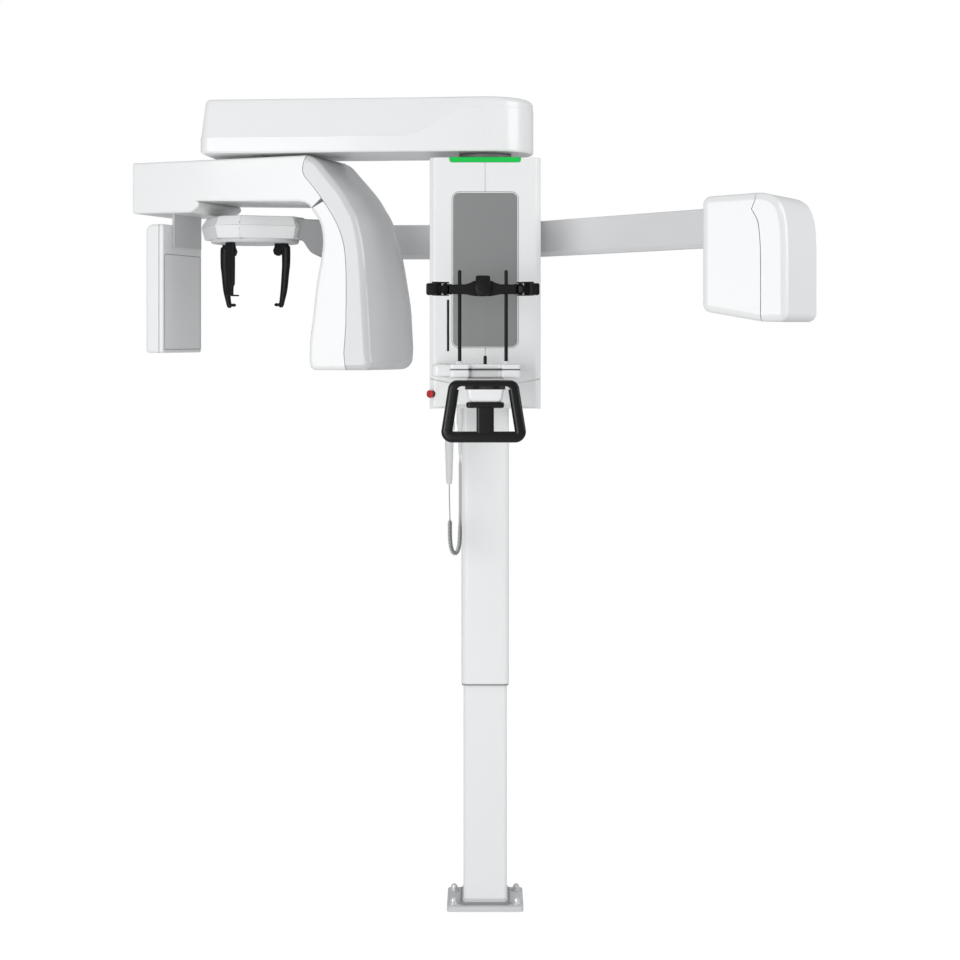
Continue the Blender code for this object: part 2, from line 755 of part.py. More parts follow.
def build_temple_support(slider):
    front, back = ROD_Y - TEMPLE_HALF_DEPTH, ROD_Y + TEMPLE_HALF_DEPTH
    bar = part("temple_bar", prism(temple_outline(), front, back, "XZ"), BLACK, slider)
    for side in (-1, 1):
        hole = circle(ROD_RADIUS + GAP, 16, SUPPORT_X + side * ROD_SPACING / 2, ROD_Y)
        cut(bar, prism(hole, TEMPLE_BOTTOM - 0.01, TEMPLE_TOP + 0.01))
    for side in (-1, 1):
        ends = (TEMPLE_BOTTOM + 0.001, TEMPLE_TOP - 0.001)
        pin = turned([(TEMPLE_PIN_RADIUS, z) for z in ends], 12)
        join(bar, moved(pin, (SUPPORT_X + side * TEMPLE_HINGE, ROD_Y, 0)))
    return TEMPLE_BOTTOM + TEMPLE_CHEEK + GAP, TEMPLE_TOP - TEMPLE_CHEEK - GAP


def build_temple_knob(slider):
    front = ROD_Y - TEMPLE_HALF_DEPTH - GAP
    frame = empty("knob_axis", (SUPPORT_X, 0, KNOB_Z), parent=slider)
    ridge, valley = circle(KNOB_RADIUS, 36), circle(KNOB_RADIUS * 0.965, 36)
    rim = [ridge[i] if i % 2 else valley[i] for i in range(36)]
    part("temple_knob", prism(rim, front - KNOB_DEPTH, front, "XZ"), BLACK, frame)


def build_temple_arms(slider, low, high):
    """Each arm turns on its pin and ends in a pad beside the patient's temple."""
    for name, side in (("left", -1), ("right", 1)):
        hinge = empty(f"{name}_temple_axis", (SUPPORT_X + side * TEMPLE_HINGE, ROD_Y, 0), parent=slider)
        knuckle = part(
            f"{name}_temple_arm",
            pipe(KNUCKLE_RADIUS, TEMPLE_PIN_RADIUS + GAP, low, high, 24),
            BLACK,
            hinge,
        )
        outer = TEMPLE_ARM_REACH
        plan = [
            (side * 0.0055, -0.006),
            (side * 0.012, -0.014),
            (side * (outer - 0.016), -0.030),
            (side * (outer - 0.016), -TEMPLE_ARM_LENGTH),
            (side * (outer - 0.006), -TEMPLE_ARM_LENGTH),
            (side * (outer - 0.006), -0.022),
            (side * (outer - 0.014), -0.010),
            (side * 0.0075, 0.004),
        ]
        join(knuckle, prism(plan, low, high))
        pad_low, pad_high = low - 0.009, high + 0.001
        inner = outer - 0.016
        xs = sorted((side * (inner + 0.002), side * (inner - 0.010)))
        tip, root = -TEMPLE_ARM_LENGTH, -0.034
        corners = [(tip, pad_low), (root, pad_low), (root, pad_high), (tip, pad_high)]
        pad = rounded(corners, 0.008)
        join(knuckle, prism(pad, xs[0], xs[1], "YZ"))


def handle_corners(inset_by=0.0):
    top, bottom = HANDLE_TOP - inset_by, HANDLE_BOTTOM + inset_by
    return [
        (HANDLE_X - HANDLE_BOTTOM_HALF + inset_by, bottom),
        (HANDLE_X + HANDLE_BOTTOM_HALF - inset_by, bottom),
        (HANDLE_X + HANDLE_TOP_HALF - inset_by * 0.6, top),
        (HANDLE_X - HANDLE_TOP_HALF + inset_by * 0.6, top),
    ]


def build_handle(lift):
    front, back = HANDLE_Y - HANDLE_DEPTH / 2, HANDLE_Y + HANDLE_DEPTH / 2
    outer = rounded(handle_corners(), 0.020, 5)
    inner = rounded(handle_corners(HANDLE_BAR), 0.010, 5)
    frame = part("handle_frame", ring_prism(outer, inner, front, back, "XZ"), BLACK, lift)
    in_bar = HANDLE_BOTTOM + HANDLE_BAR / 2
    half = POST_HALF_WIDTH
    post = [(-half, front + 0.001), (half, front + 0.001), (half, back + 0.02), (-half, back + 0.02)]
    join(frame, prism(rounded(post, 0.005), in_bar, POST_TOP + 0.002))
    collar = [(-half - 0.003, front - 0.002), (half + 0.003, front - 0.002)]
    collar += [(half + 0.003, back + 0.023), (-half - 0.003, back + 0.023)]
    join(frame, prism(rounded(collar, 0.006), POST_TOP, BLOCK_BOTTOM - GAP))
    under_bar = HANDLE_TOP - HANDLE_BAR - GAP
    under_shelf = SHELF_BOTTOM - GAP
    profile = [
        (front + 0.001, BLOCK_BOTTOM),
        (back + 0.055, BLOCK_BOTTOM),
        (back + 0.055, under_shelf),
        (back + GAP, under_shelf),
        (back + GAP, under_bar),
        (front + 0.001, under_bar),
    ]
    part(
        "shelf_block",
        prism(profile, -BLOCK_HALF_WIDTH, BLOCK_HALF_WIDTH, "YZ"),
        WHITE,
        lift,
        smooth=False,
    )


# ---------------------------------------------------------------- switch, cord, emergency stop


def build_switch(lift):
    profile = [
        (0.0070, SWITCH_BOTTOM),
        (0.0085, SWITCH_BOTTOM + 0.010),
        (0.0105, SWITCH_BOTTOM + 0.070),
        (SWITCH_RADIUS, SWITCH_BOTTOM + 0.110),
        (SWITCH_RADIUS, SWITCH_TOP - 0.003),
        (SWITCH_RADIUS - 0.002, SWITCH_TOP),
    ]
    place = (SWITCH_X, SWITCH_Y, 0)
    switch = part("hand_switch", moved(turned(profile, 20), place), SATIN_WHITE, lift)
    bore = circle(BUTTON_RADIUS + GAP, 20, SWITCH_X, SWITCH_Y)
    seat = SWITCH_TOP - 0.008
    cut(switch, prism(bore, seat - BUTTON_TRAVEL - GAP, SWITCH_TOP + 0.01))
    axis = empty("exposure_button_axis", place, parent=lift)
    crown = SWITCH_TOP + 0.006
    button = [(BUTTON_RADIUS, seat), (BUTTON_RADIUS, crown), (BUTTON_RADIUS - 0.002, crown + 0.002)]
    part("exposure_button", turned(button, 20), LIGHT_GREY, axis)


def build_switch_holder(lift):
    """A spring clip round the switch, open at the front, on a stem from the lower cover."""
    inner, outer = SWITCH_RADIUS + GAP, SWITCH_RADIUS + 0.0035
    angles = [math.radians(-40 + 260 * i / 20) for i in range(21)]
    clip = [(outer * math.cos(a), outer * math.sin(a)) for a in angles]
    clip += [(inner * math.cos(a), inner * math.sin(a)) for a in angles[::-1]]
    holder = part(
        "switch_holder",
        moved(prism(clip, HOLDER_BOTTOM, HOLDER_TOP), (SWITCH_X, SWITCH_Y, 0)),
        SATIN_WHITE,
        lift,
    )
    stem_top = CARRIAGE_BOTTOM - GAP
    stem = box((-0.006, outer - 0.0012, HOLDER_BOTTOM), (0.006, outer + 0.005, stem_top))
    join(holder, moved(stem, (SWITCH_X, SWITCH_Y, 0)))


def build_cord(lift):
    relief = [
        (0.0038, RELIEF_BOTTOM),
        (0.0046, RELIEF_BOTTOM + 0.020),
        (0.0058, RELIEF_BOTTOM + 0.060),
        (0.0070, RELIEF_BOTTOM + 0.082),
        (0.0090, RELIEF_BOTTOM + 0.086),
        (0.0090, CARRIAGE_BOTTOM - GAP),
    ]
    part("cord_strain_relief", moved(turned(relief, 16), (RELIEF_X, SWITCH_Y, 0)), SATIN_WHITE, lift)
    lead = [
        (SWITCH_X, SWITCH_Y, SWITCH_BOTTOM - GAP),
        (-0.0984, SWITCH_Y, 1.180),
        (-0.0978, SWITCH_Y, 1.150),
        (-0.0970, SWITCH_Y, 1.125),
        (-0.0966, SWITCH_Y, CORD_BLEND_Z + GAP),
    ]
    tube("switch_lead", lead, CORD_DIAMETER, 0.008, SATIN_WHITE, lift)
    curl = [
        (-0.0966, SWITCH_Y, CORD_BLEND_Z),
        (-0.0968, SWITCH_Y, 1.080),
        (-0.0962, SWITCH_Y, 1.050),
        (-0.0935, SWITCH_Y, 1.027),
        (-0.0885, SWITCH_Y, 1.014),
        (-0.0830, SWITCH_Y, 1.0105),
        (-0.0775, SWITCH_Y, 1.014),
        (-0.0725, SWITCH_Y, 1.027),
        (-0.0698, SWITCH_Y, 1.050),
        (-0.0690, SWITCH_Y, 1.090),
        (-0.0688, SWITCH_Y, 1.150),
        (-0.0689, SWITCH_Y, 1.220),
        (RELIEF_X, SWITCH_Y, RELIEF_BOTTOM - GAP),
    ]
    tube("curly_cord", curl, COIL_DIAMETER, 0.0085, SATIN_WHITE, lift)


def build_emergency_stop(lift, tray):
    """A ring on the chamfered corner and a mushroom button that presses into it."""
    middle = CARRIAGE_CHAMFER / 2
    slope = STOP_SHIFT / math.sqrt(2)
    x = -CARRIAGE_HALF_WIDTH + middle + slope
    y = CARRIAGE_FRONT + middle - slope
    axis = empty("emergency_stop_axis", (x, y, STOP_Z), parent=lift)
    out = Matrix.Rotation(math.radians(-135), 4, "Z") @ Matrix.Rotation(math.radians(90), 4, "Y")
    base_height = 0.0030
    ring = pipe(0.0085, 0.0053, -0.002, base_height, 24)
    join(tray, moved(ring, (x, y, STOP_Z), out))
    head_low = base_height + STOP_TRAVEL + GAP
    button = [
        (0.0050, STOP_TRAVEL + 2 * GAP),
        (0.0050, head_low),
        (STOP_RADIUS, head_low),
        (STOP_RADIUS, head_low + 0.003),
        (STOP_RADIUS - 0.002, head_low + 0.005),
    ]
    part("emergency_stop_button", moved(turned(button, 24), turn=out), RED, axis)


# ---------------------------------------------------------------- overhead beam


def beam_outline(lean=0.0, steps=16):
    """Round over the pivot, straight sides, small corners at the far end; anticlockwise."""
    half = BEAM_HALF_WIDTH - lean
    arc = [math.radians(-90 + 180 * i / steps) for i in range(steps + 1)]
    points = [(half * math.cos(a), half * math.sin(a)) for a in arc]
    end = -BEAM_REACH + lean
    corner = BEAM_CORNER
    for middle_y, first in ((half - corner, 90), (-half + corner, 180)):
        for k in range(5):
            a = math.radians(first + 90 * k / 4)
            points.append((end + corner + corner * math.cos(a), middle_y + corner * math.sin(a)))
    return points


def build_beam(beam):
    tray = part("beam_tray", prism(beam_outline(), BEAM_BOTTOM, BEAM_SEAM), WHITE, beam)
    cut(tray, prism(beam_outline(WALL), BEAM_BOTTOM + WALL, BEAM_SEAM + 0.01))
    hub = circle(PIVOT_RADIUS + GAP, 32)
    cut(tray, prism(hub, BEAM_BOTTOM - 0.01, BEAM_BOTTOM + 0.02))
    slot = beam_slot(ROTOR_SHAFT_RADIUS + 0.002)
    cut(tray, prism(slot, BEAM_BOTTOM - 0.01, BEAM_BOTTOM + 0.02))
    low = BEAM_SEAM + GAP
    shoulder = BEAM_TOP - 0.012
    rings = [(0.0, low), (BEAM_LEAN, shoulder)]
    rings += [(BEAM_LEAN + 0.004, BEAM_TOP - 0.003), (BEAM_LEAN + 0.012, BEAM_TOP)]
    cover = part("beam_cover", loft([lifted(beam_outline(a), z) for a, z in rings]), WHITE, beam)
    inside = [(WALL, low - 0.01), (WALL, low)]
    inside += [(BEAM_LEAN + WALL, shoulder), (BEAM_LEAN + 0.014, BEAM_TOP - WALL)]
    cut(cover, loft([lifted(beam_outline(a), z) for a, z in inside]))
    floor = BEAM_BOTTOM + WALL + GAP
    low_end = CARRIAGE_TOP - WALL - PIVOT_BORE_DEPTH
    shaft = [(PIVOT_RADIUS, low_end), (PIVOT_RADIUS, floor)]
    shaft += [(PIVOT_RADIUS + 0.025, floor), (PIVOT_RADIUS + 0.025, floor + 0.008)]
    hollow = part("swing_shaft", turned(shaft, 32), STEEL, beam)
    cut(hollow, prism(circle(PIVOT_RADIUS - 0.008, 24), low_end - 0.01, floor + 0.02))


def beam_slot(radius):
    """A round-ended slot in the tray, as long as the rotor's slide."""
    out, back = ROTOR_REACH - ROTOR_SLIDE_OUT, ROTOR_REACH + ROTOR_SLIDE_IN
    right = [(back + radius * math.cos(a), radius * math.sin(a)) for a in half_turn(-90)]
    left = [(out + radius * math.cos(a), radius * math.sin(a)) for a in half_turn(90)]
    return [(x, y + ROTOR_OFFSET) for x, y in right + left]


def half_turn(first, steps=12):
    return [math.radians(first + 180 * i / steps) for i in range(steps + 1)]


def build_slide_rails(beam):
    floor = BEAM_BOTTOM + WALL + GAP
    low, high = ROTOR_REACH - 0.09, ROTOR_REACH + 0.10
    half = RAIL_SPACING / 2 + 0.006
    base = box((low, ROTOR_OFFSET - half, floor), (high, ROTOR_OFFSET + half, floor + 0.004))
    rails = part("slide_rails", base, STEEL, beam, smooth=False)
    for side in (-1, 1):
        y = ROTOR_OFFSET + side * RAIL_SPACING / 2
        join(rails, box((low, y - 0.005, floor + 0.002), (high, y + 0.005, floor + RAIL_HEIGHT)))
    cut(rails, prism(beam_slot(ROTOR_SHAFT_RADIUS + 0.002), floor - 0.01, floor + 0.02))


def rail_top():
    return BEAM_BOTTOM + WALL + GAP + RAIL_HEIGHT


def build_rotor_carriage(slide):
    """The plate that slides on the rails, and the motor that turns the rotor."""
    low = rail_top() + GAP
    high = low + 0.010
    half = 0.060
    plate = part("slide_plate", box((-half, -half, low), (half + 0.10, half, high)), ALUMINIUM, slide)
    cut(plate, prism(circle(ROTOR_SHAFT_RADIUS + GAP, 32), low - 0.01, high + 0.01))
    motor = turned([(0.021, high - 0.002), (0.021, high + 0.060)], 24)
    join(plate, moved(motor, (0.125, 0, 0)))


def build_rotor_drive(rotor):
    """The hollow shaft that hangs the rotor, with its belt pulley on top of the slide plate."""
    low = rail_top() + 2 * GAP + 0.010
    high = low + 0.012
    bottom = ROTOR_TOP - 0.040
    shaft = [
        (ROTOR_SHAFT_RADIUS + 0.020, bottom),
        (ROTOR_SHAFT_RADIUS + 0.020, bottom + 0.010),
        (ROTOR_SHAFT_RADIUS, bottom + 0.010),
        (ROTOR_SHAFT_RADIUS, low + GAP),
        (ROTOR_PULLEY_RADIUS, low + GAP),
        (ROTOR_PULLEY_RADIUS, high),
    ]
    hollow = part("rotor_shaft", turned(shaft, 32), STEEL, rotor)
    cut(hollow, prism(circle(ROTOR_SHAFT_RADIUS - 0.007, 24), bottom - 0.01, high + 0.02))


# ---------------------------------------------------------------- rotor


def tube_seam():
    """The seam between the rotor's covers, from the top down, as (x, z)."""
    return [
        (0.197, ROTOR_TOP),
        (0.187, ROTOR_TOP - 0.033),
        (0.192, ROTOR_TOP - 0.057),
        (0.2125, ROTOR_TOP - 0.081),
        (0.249, ROTOR_TOP - 0.128),
        (0.286, ROTOR_TOP - 0.185),
        (0.308, ROTOR_TOP - 0.242),
        (0.3155, ROTOR_TOP - 0.302),
        (0.317, ROTOR_TOP - 0.377),
        (0.3156, ROTOR_TOP - 0.47),
        (0.310, ROTOR_TOP - 0.547),
        (0.320, TUBE_BOTTOM),
    ]


def tube_inner_edge():
    """The rotor's inside edge facing the patient, from the bottom up."""
    return [
        (0.208, TUBE_BOTTOM),
        (0.204, ROTOR_TOP - 0.567),
        (0.206, ROTOR_TOP - 0.508),
        (0.215, ROTOR_TOP - 0.445),
        (0.225, ROTOR_TOP - 0.3605),
        (0.240, ROTOR_TOP - 0.279),
        (0.244, ROTOR_TOP - 0.233),
        (0.236, ROTOR_TOP - 0.187),
        (0.211, ROTOR_TOP - 0.1485),
    ]


def tube_outer_edge():
    """The rotor's back edge, from the bottom up."""
    return [
        (0.372, TUBE_BOTTOM),
        (0.380, ROTOR_TOP - 0.585),
        (0.3755, ROTOR_TOP - 0.48),
        (0.369, ROTOR_TOP - 0.36),
        (0.362, ROTOR_TOP - 0.303),
        (0.361, ROTOR_TOP - 0.239),
        (0.343, ROTOR_TOP - 0.176),
        (0.3245, ROTOR_TOP - 0.14),
        (0.300, ROTOR_TOP - 0.1),
        (0.252, ROTOR_TOP - 0.043),
        (0.222, ROTOR_TOP - 0.011),
        (0.200, ROTOR_TOP),
    ]


def swell(z, y):
    """How far the tube cover's back stands out at a height and a place between its two sides."""
    along = ((y - ROTOR_FRONT) / (ROTOR_BACK - ROTOR_FRONT)) ** 1.5
    drop = max(0.0, min(1.0, (ROTOR_TOP - 0.020 - z) / 0.410))
    crown = 1 - (1 - drop) ** 1.15
    foot = min(1.0, 0.70 + (z - TUBE_BOTTOM) / 0.170)
    return TUBE_SWELL * crown * foot * max(0.0, math.sin(math.pi * along)) ** 0.8


def swollen(outline, count, low, high):
    """A solid between two places along Y, whose first points, its back edge's, swell out."""
    rings = []
    for share in (0.0, 0.08, 0.20, 0.35, 0.50, 0.65, 0.78, 0.88, 0.95, 1.0):
        y = low + (high - low) * share
        out = [x + (swell(z, y) if i < count else 0.0) for i, (x, z) in enumerate(outline)]
        rings.append([(x, y, z) for x, (_, z) in zip(out, outline)])
    return loft(rings)


def shell(name, outline, open_edges, look, parent, swelling=0):
    """A cover between the rotor's front and back faces, open along some of its outline's edges."""
    obj = part(name, swollen(outline, swelling, ROTOR_FRONT, ROTOR_BACK), look, parent)
    walls = [-0.02 if i in open_edges else WALL for i in range(len(outline))]
    inside = inset(outline, walls)
    cut(obj, swollen(inside, swelling, ROTOR_FRONT + WALL, ROTOR_BACK - WALL))
    return obj


def build_rotor_housing(rotor):
    seam = tube_seam()
    upper = [p for p in seam if p[1] >= ROTOR_RAISED_BOTTOM - 0.001]
    outline = [
        (ROTOR_LEFT, ROTOR_TOP),
        (ROTOR_LEFT, ROTOR_BLOCK_BOTTOM),
        (-0.153, ROTOR_BLOCK_BOTTOM),
        (-0.125, ROTOR_RAISED_BOTTOM),
        (0.185, ROTOR_RAISED_BOTTOM),
    ]
    outline += [(x - GAP, z) for x, z in upper[::-1]]
    housing = part("rotor_housing", prism(outline, ROTOR_FRONT, ROTOR_BACK, "XZ"), WHITE, rotor)
    hollow = [
        (ROTOR_LEFT + WALL, ROTOR_TOP - WALL),
        (ROTOR_LEFT + WALL, ROTOR_BLOCK_BOTTOM - 0.01),
        (-0.151, ROTOR_BLOCK_BOTTOM - 0.01),
        (-0.123, ROTOR_RAISED_BOTTOM - 0.01),
        (0.178, ROTOR_RAISED_BOTTOM - 0.01),
        (0.178, ROTOR_RAISED_BOTTOM + WALL),
        (0.300, ROTOR_RAISED_BOTTOM + WALL),
        (0.300, ROTOR_TOP - WALL),
    ]
    cut(housing, prism(hollow, ROTOR_FRONT + WALL, ROTOR_BACK - WALL, "XZ"))
    cut(housing, prism(circle(ROTOR_SHAFT_RADIUS + 0.002, 32), ROTOR_TOP - 0.02, ROTOR_TOP + 0.01))
    floor = [
        (ROTOR_LEFT + WALL + GAP, ROTOR_BLOCK_BOTTOM),
        (-0.153, ROTOR_BLOCK_BOTTOM),
        (-0.125, ROTOR_RAISED_BOTTOM),
        (0.1775, ROTOR_RAISED_BOTTOM),
        (0.1775, ROTOR_RAISED_BOTTOM + WALL),
        (-0.127, ROTOR_RAISED_BOTTOM + WALL),
        (-0.155, ROTOR_BLOCK_BOTTOM + WALL),
        (ROTOR_LEFT + WALL + GAP, ROTOR_BLOCK_BOTTOM + WALL),
    ]
    inside = (ROTOR_FRONT + WALL + GAP, ROTOR_BACK - WALL - GAP)
    bottom = part("rotor_bottom_cover", prism(floor, *inside, "XZ"), WHITE, rotor, smooth=False)
    plate_x = (SENSOR_FACE + GAP - 0.001, SENSOR_FACE + GAP + 0.009)
    cut(bottom, box((plate_x[0], -0.081, ROTOR_TOP - 0.167), (plate_x[1], 0.091, ROTOR_TOP - 0.137)))


def build_tube_covers(rotor):
    seam = tube_seam()
    lower = [p for p in seam if p[1] <= ROTOR_RAISED_BOTTOM + 0.001]
    inner = [(x - GAP, z) for x, z in lower[::-1]] + [(x, z - GAP) for x, z in tube_inner_edge()[::-1]]
    inner[len(lower) - 1] = (inner[len(lower) - 1][0], inner[len(lower) - 1][1] - 2 * GAP)
    open_edges = set(range(len(lower)))
    shell("tube_inner_cover", inner, open_edges, WHITE, rotor)
    outer = tube_outer_edge() + [(x + GAP, z) for x, z in seam]
    first = len(tube_outer_edge())
    open_edges = set(range(first, first + len(seam) - 1))
    shell("tube_outer_cover", outer, open_edges, LIGHT_GREY, rotor, first)


def build_rotor_frame(rotor):
    """A bent steel bar that carries the sensor at one end and the X-ray tube at the other."""
    top = ROTOR_TOP - 0.040 - GAP
    bar = 0.016
    leg = 0.260
    outline = [
        (-0.300, top),
        (-0.300, top - bar),
        (leg - 0.010, top - bar),
        (leg - 0.010, TUBE_BOTTOM + 0.067),
        (leg, TUBE_BOTTOM + 0.067),
        (leg, top - bar - 0.030),
        (0.216, top),
    ]
    frame = part("rotor_frame", prism(outline, -0.045, 0.055, "XZ"), STEEL, rotor, smooth=False)
    cut(frame, prism(circle(ROTOR_SHAFT_RADIUS - 0.007, 24), top - 0.03, top + 0.01))
    low = TUBE_BOTTOM + 0.097
    high = TUBE_BOTTOM + 0.307
    tank = rounded([(leg + GAP, low), (0.350, low), (0.345, high), (leg + GAP, high + 0.020)], 0.010)
    part("xray_tank", prism(tank, -0.075, 0.085, "XZ"), STEEL, rotor)


def build_sensor(rotor):
    top = ROTOR_TOP - 0.040 - GAP - 0.016 - GAP
    face = SENSOR_FACE + GAP
    plate = box((face, -0.080, SENSOR_TOP - 0.063), (face + 0.007, 0.090, top))
    bracket = part("sensor_bracket", plate, LIGHT_GREY, rotor)
    bracket_top = box((face - 0.030, -0.045, top - 0.006), (face + 0.003, 0.055, top))
    join(bracket, bracket_top)
    front, back = ROTOR_FRONT, ROTOR_FRONT + SENSOR_WIDTH
    deep = SENSOR_FACE - SENSOR_THICKNESS
    seam = SENSOR_FACE - SENSOR_FRONT_THICKNESS
    low, high = SENSOR_BOTTOM, SENSOR_TOP
    plan = [(deep, low), (seam - SENSOR_GROOVE, low), (seam - SENSOR_GROOVE, high), (deep + 0.016, high)]
    plan.append((deep, high - 0.020))
    housing = part("sensor_housing", prism(plan, front, back, "XZ"), WHITE, rotor)
    hollow = box((deep + WALL, front + WALL, low + WALL), (seam + 0.01, back - WALL, high - 0.024))
    cut(housing, hollow)
    face_plan = rounded([(front, low), (back, low), (back, high), (front, high)], 0.008)
    part("sensor_face", prism(face_plan, seam, SENSOR_FACE, "YZ"), LIGHT_GREY, rotor)
    panel = box((deep + WALL + GAP, front + 0.020, low + 0.030), (seam - GAP, back - 0.020, high - 0.050))
    part("sensor_panel", panel, DARK, rotor, smooth=False)


# ---------------------------------------------------------------- cephalometric arm


def right_direction():
    along = Vector((math.cos(ARM_RIGHT_ANGLE), math.sin(ARM_RIGHT_ANGLE)))
    return along, Vector((-along.y, along.x))


def head_frame():
    towards_patient = Vector((-math.cos(HEAD_YAW), -math.sin(HEAD_YAW)))
    return Vector((HEAD_X, HEAD_Y)), towards_patient


def meeting(point, along, face_point, normal):
    """Where a line meets the plane of the X-ray head's front face."""
    return point + along * ((face_point - point).dot(normal) / along.dot(normal))


def build_arm(lift):
    along, behind = right_direction()
    bend = Vector((ARM_BEND_X, ARM_FRONT))
    mitre = ARM_THICKNESS * (Vector((0, 1)) + behind) / (1 + behind.y)
    inner = bend + mitre
    left = [
        (NECK_RIGHT, ARM_FRONT),
        tuple(bend),
        tuple(inner),
        (NECK_LEFT + 0.030, ARM_FRONT + ARM_THICKNESS),
        (NECK_LEFT + 0.009, ARM_FRONT + ARM_THICKNESS - 0.012),
        (NECK_LEFT, ARM_FRONT + 0.008),
        (NECK_LEFT, ARM_FRONT),
    ]
    arm = part("ceph_arm_left", prism(left, ARM_BOTTOM, ARM_TOP), ALUMINIUM, lift)
    shift = along * GAP
    centre, towards = head_frame()
    face = centre + towards * (HEAD_HALF_LENGTH + GAP)
    near = meeting(bend, along, face, towards)
    far = meeting(inner, along, face, towards)
    right = [tuple(bend + shift), tuple(near), tuple(far), tuple(inner + shift)]
    part("ceph_arm_right", prism(right, ARM_BOTTOM, ARM_TOP), ALUMINIUM, lift)
    bracket = box(
        (BRACKET_LEFT, sleeve_half_depth() + GAP, ARM_BOTTOM + BRACKET_STEP),
        (BRACKET_RIGHT, ARM_FRONT + 0.010, ARM_TOP - BRACKET_STEP),
    )
    join(arm, bracket)
    join(arm, prism(neck_outline(), ARM_BOTTOM, ARM_TOP))


def neck_outline():
    """Plan of the arm's forward end, which carries the head holder on its side."""
    return [
        (NECK_LEFT, NECK_FRONT + 0.010),
        (NECK_LEFT + 0.012, NECK_FRONT),
        (NECK_RIGHT - 0.016, NECK_FRONT),
        (NECK_RIGHT, NECK_FRONT + 0.016),
        (NECK_RIGHT, ARM_FRONT + 0.020),
        (NECK_LEFT, ARM_FRONT + 0.005),
    ]


def octagon(grow=0.0):
    half = HOLDER_HALF + grow
    side = half - HOLDER_CORNER
    points = [(-side, -half), (side, -half), (half, -side), (half, side)]
    points += [(side, half), (-side, half), (-half, side), (-half, -side)]
    return points


def trimmed_octagon(grow=0.0):
    """The octagon in the world, with its corner held off the arm's forward end."""
    turn = Matrix.Rotation(HOLDER_YAW, 2)
    limit = NECK_LEFT - GAP
    points = [Vector((HOLDER_X, HOLDER_Y)) + turn @ Vector(p) for p in octagon(grow)]
    return [(min(p.x, limit + min(grow, 0)), p.y) for p in points]


def build_head_holder(lift):
    lower = part("holder_lower_shell", prism(trimmed_octagon(), HOLDER_LOW, HOLDER_SEAM), WHITE, lift)
    cut(lower, prism(trimmed_octagon(-WALL), HOLDER_LOW + WALL, HOLDER_SEAM + 0.01))
    cut(lower, prism(circle(0.010 + GAP, 24, HOLDER_X, HOLDER_Y), HOLDER_LOW - 0.01, HOLDER_LOW + 0.01))
    low = HOLDER_SEAM + GAP
    rings = [
        lifted(trimmed_octagon(), low),
        lifted(trimmed_octagon(-0.004), HOLDER_HIGH - 0.010),
        lifted(trimmed_octagon(-0.022), HOLDER_HIGH),
    ]
    upper = part("holder_upper_shell", loft(rings), WHITE, lift)
    rings = [
        lifted(trimmed_octagon(-WALL), low - 0.01),
        lifted(trimmed_octagon(-WALL - 0.004), HOLDER_HIGH - 0.012),
        lifted(trimmed_octagon(-WALL - 0.022), HOLDER_HIGH - WALL),
    ]
    cut(upper, loft(rings))


def build_ear_plate(ear):
    top = HOLDER_LOW - GAP
    plate = [
        (EAR_PLATE_RADIUS - 0.004, EAR_PLATE_BOTTOM),
        (EAR_PLATE_RADIUS, EAR_PLATE_BOTTOM + 0.004),
        (EAR_PLATE_RADIUS, top),
        (0.010, top),
        (0.010, HOLDER_LOW + WALL + GAP),
        (0.018, HOLDER_LOW + WALL + GAP),
        (0.018, HOLDER_LOW + WALL + 0.004),
    ]
    part("ear_plate", turned(plate, 48), WHITE, ear)


def build_ear_arm(name, side, slider):
    """A head under the plate, an arm that narrows downwards, and an ear plug at its tip."""
    top = EAR_PLATE_BOTTOM - GAP
    reach = EAR_ARM_REACH
    xs = sorted((side * (reach - 0.034), side * (reach + 0.006)))
    head = box((xs[0], -0.010, top - 0.026), (xs[1], 0.010, top))
    stations = [
        (reach, top - 0.012, 0.0115, 0.0105),
        (reach + 0.001, top - 0.060, 0.0115, 0.0105),
        (reach - 0.001, EAR_ARM_BOTTOM + 0.102, 0.0110, 0.0100),
        (reach - 0.007, EAR_ARM_BOTTOM + 0.047, 0.0100, 0.0090),
        (reach - 0.015, EAR_ARM_BOTTOM + 0.010, 0.0065, 0.0070),
        (reach - 0.017, EAR_ARM_BOTTOM, 0.0045, 0.0050),
    ]
    rings = [
        [(side * x + a * w, b * h, z) for a, b in circle(1.0, 12)] for x, z, w, h in stations
    ]
    arm = part(name, loft(rings), BLACK, slider)
    join(arm, head)
    length = reach - 0.020 - EAR_PLUG_TIP
    plug = turned([(0.0055, 0), (0.0045, 0.010), (0.0020, 0.018), (0.0016, length)], 12)
    turn = Matrix.Rotation(math.radians(-90 * side), 4, "Y")
    join(arm, moved(plug, (side * (reach - 0.020), 0, EAR_PLUG_Z), turn))


def build_nasion(slider):
    """A flat arm at the front of the face, with a small plate that rests on the nose's bridge."""
    top = EAR_PLATE_BOTTOM - GAP
    y = -NASION_REACH
    outline = [
        (-0.0145, NASION_BOTTOM + 0.002),
        (0.0095, NASION_BOTTOM + 0.002),
        (0.0095, NASION_BOTTOM + 0.028),
        (0.0145, NASION_BOTTOM + 0.034),
        (0.0145, top),
        (-0.0145, top),
    ]
    arm = part("nasion_support", prism(outline, y - 0.004, y + 0.006, "XZ"), BLACK, slider)
    join(arm, box((-0.008, y, NASION_BOTTOM), (0.008, y + 0.036, NASION_BOTTOM + 0.005)))


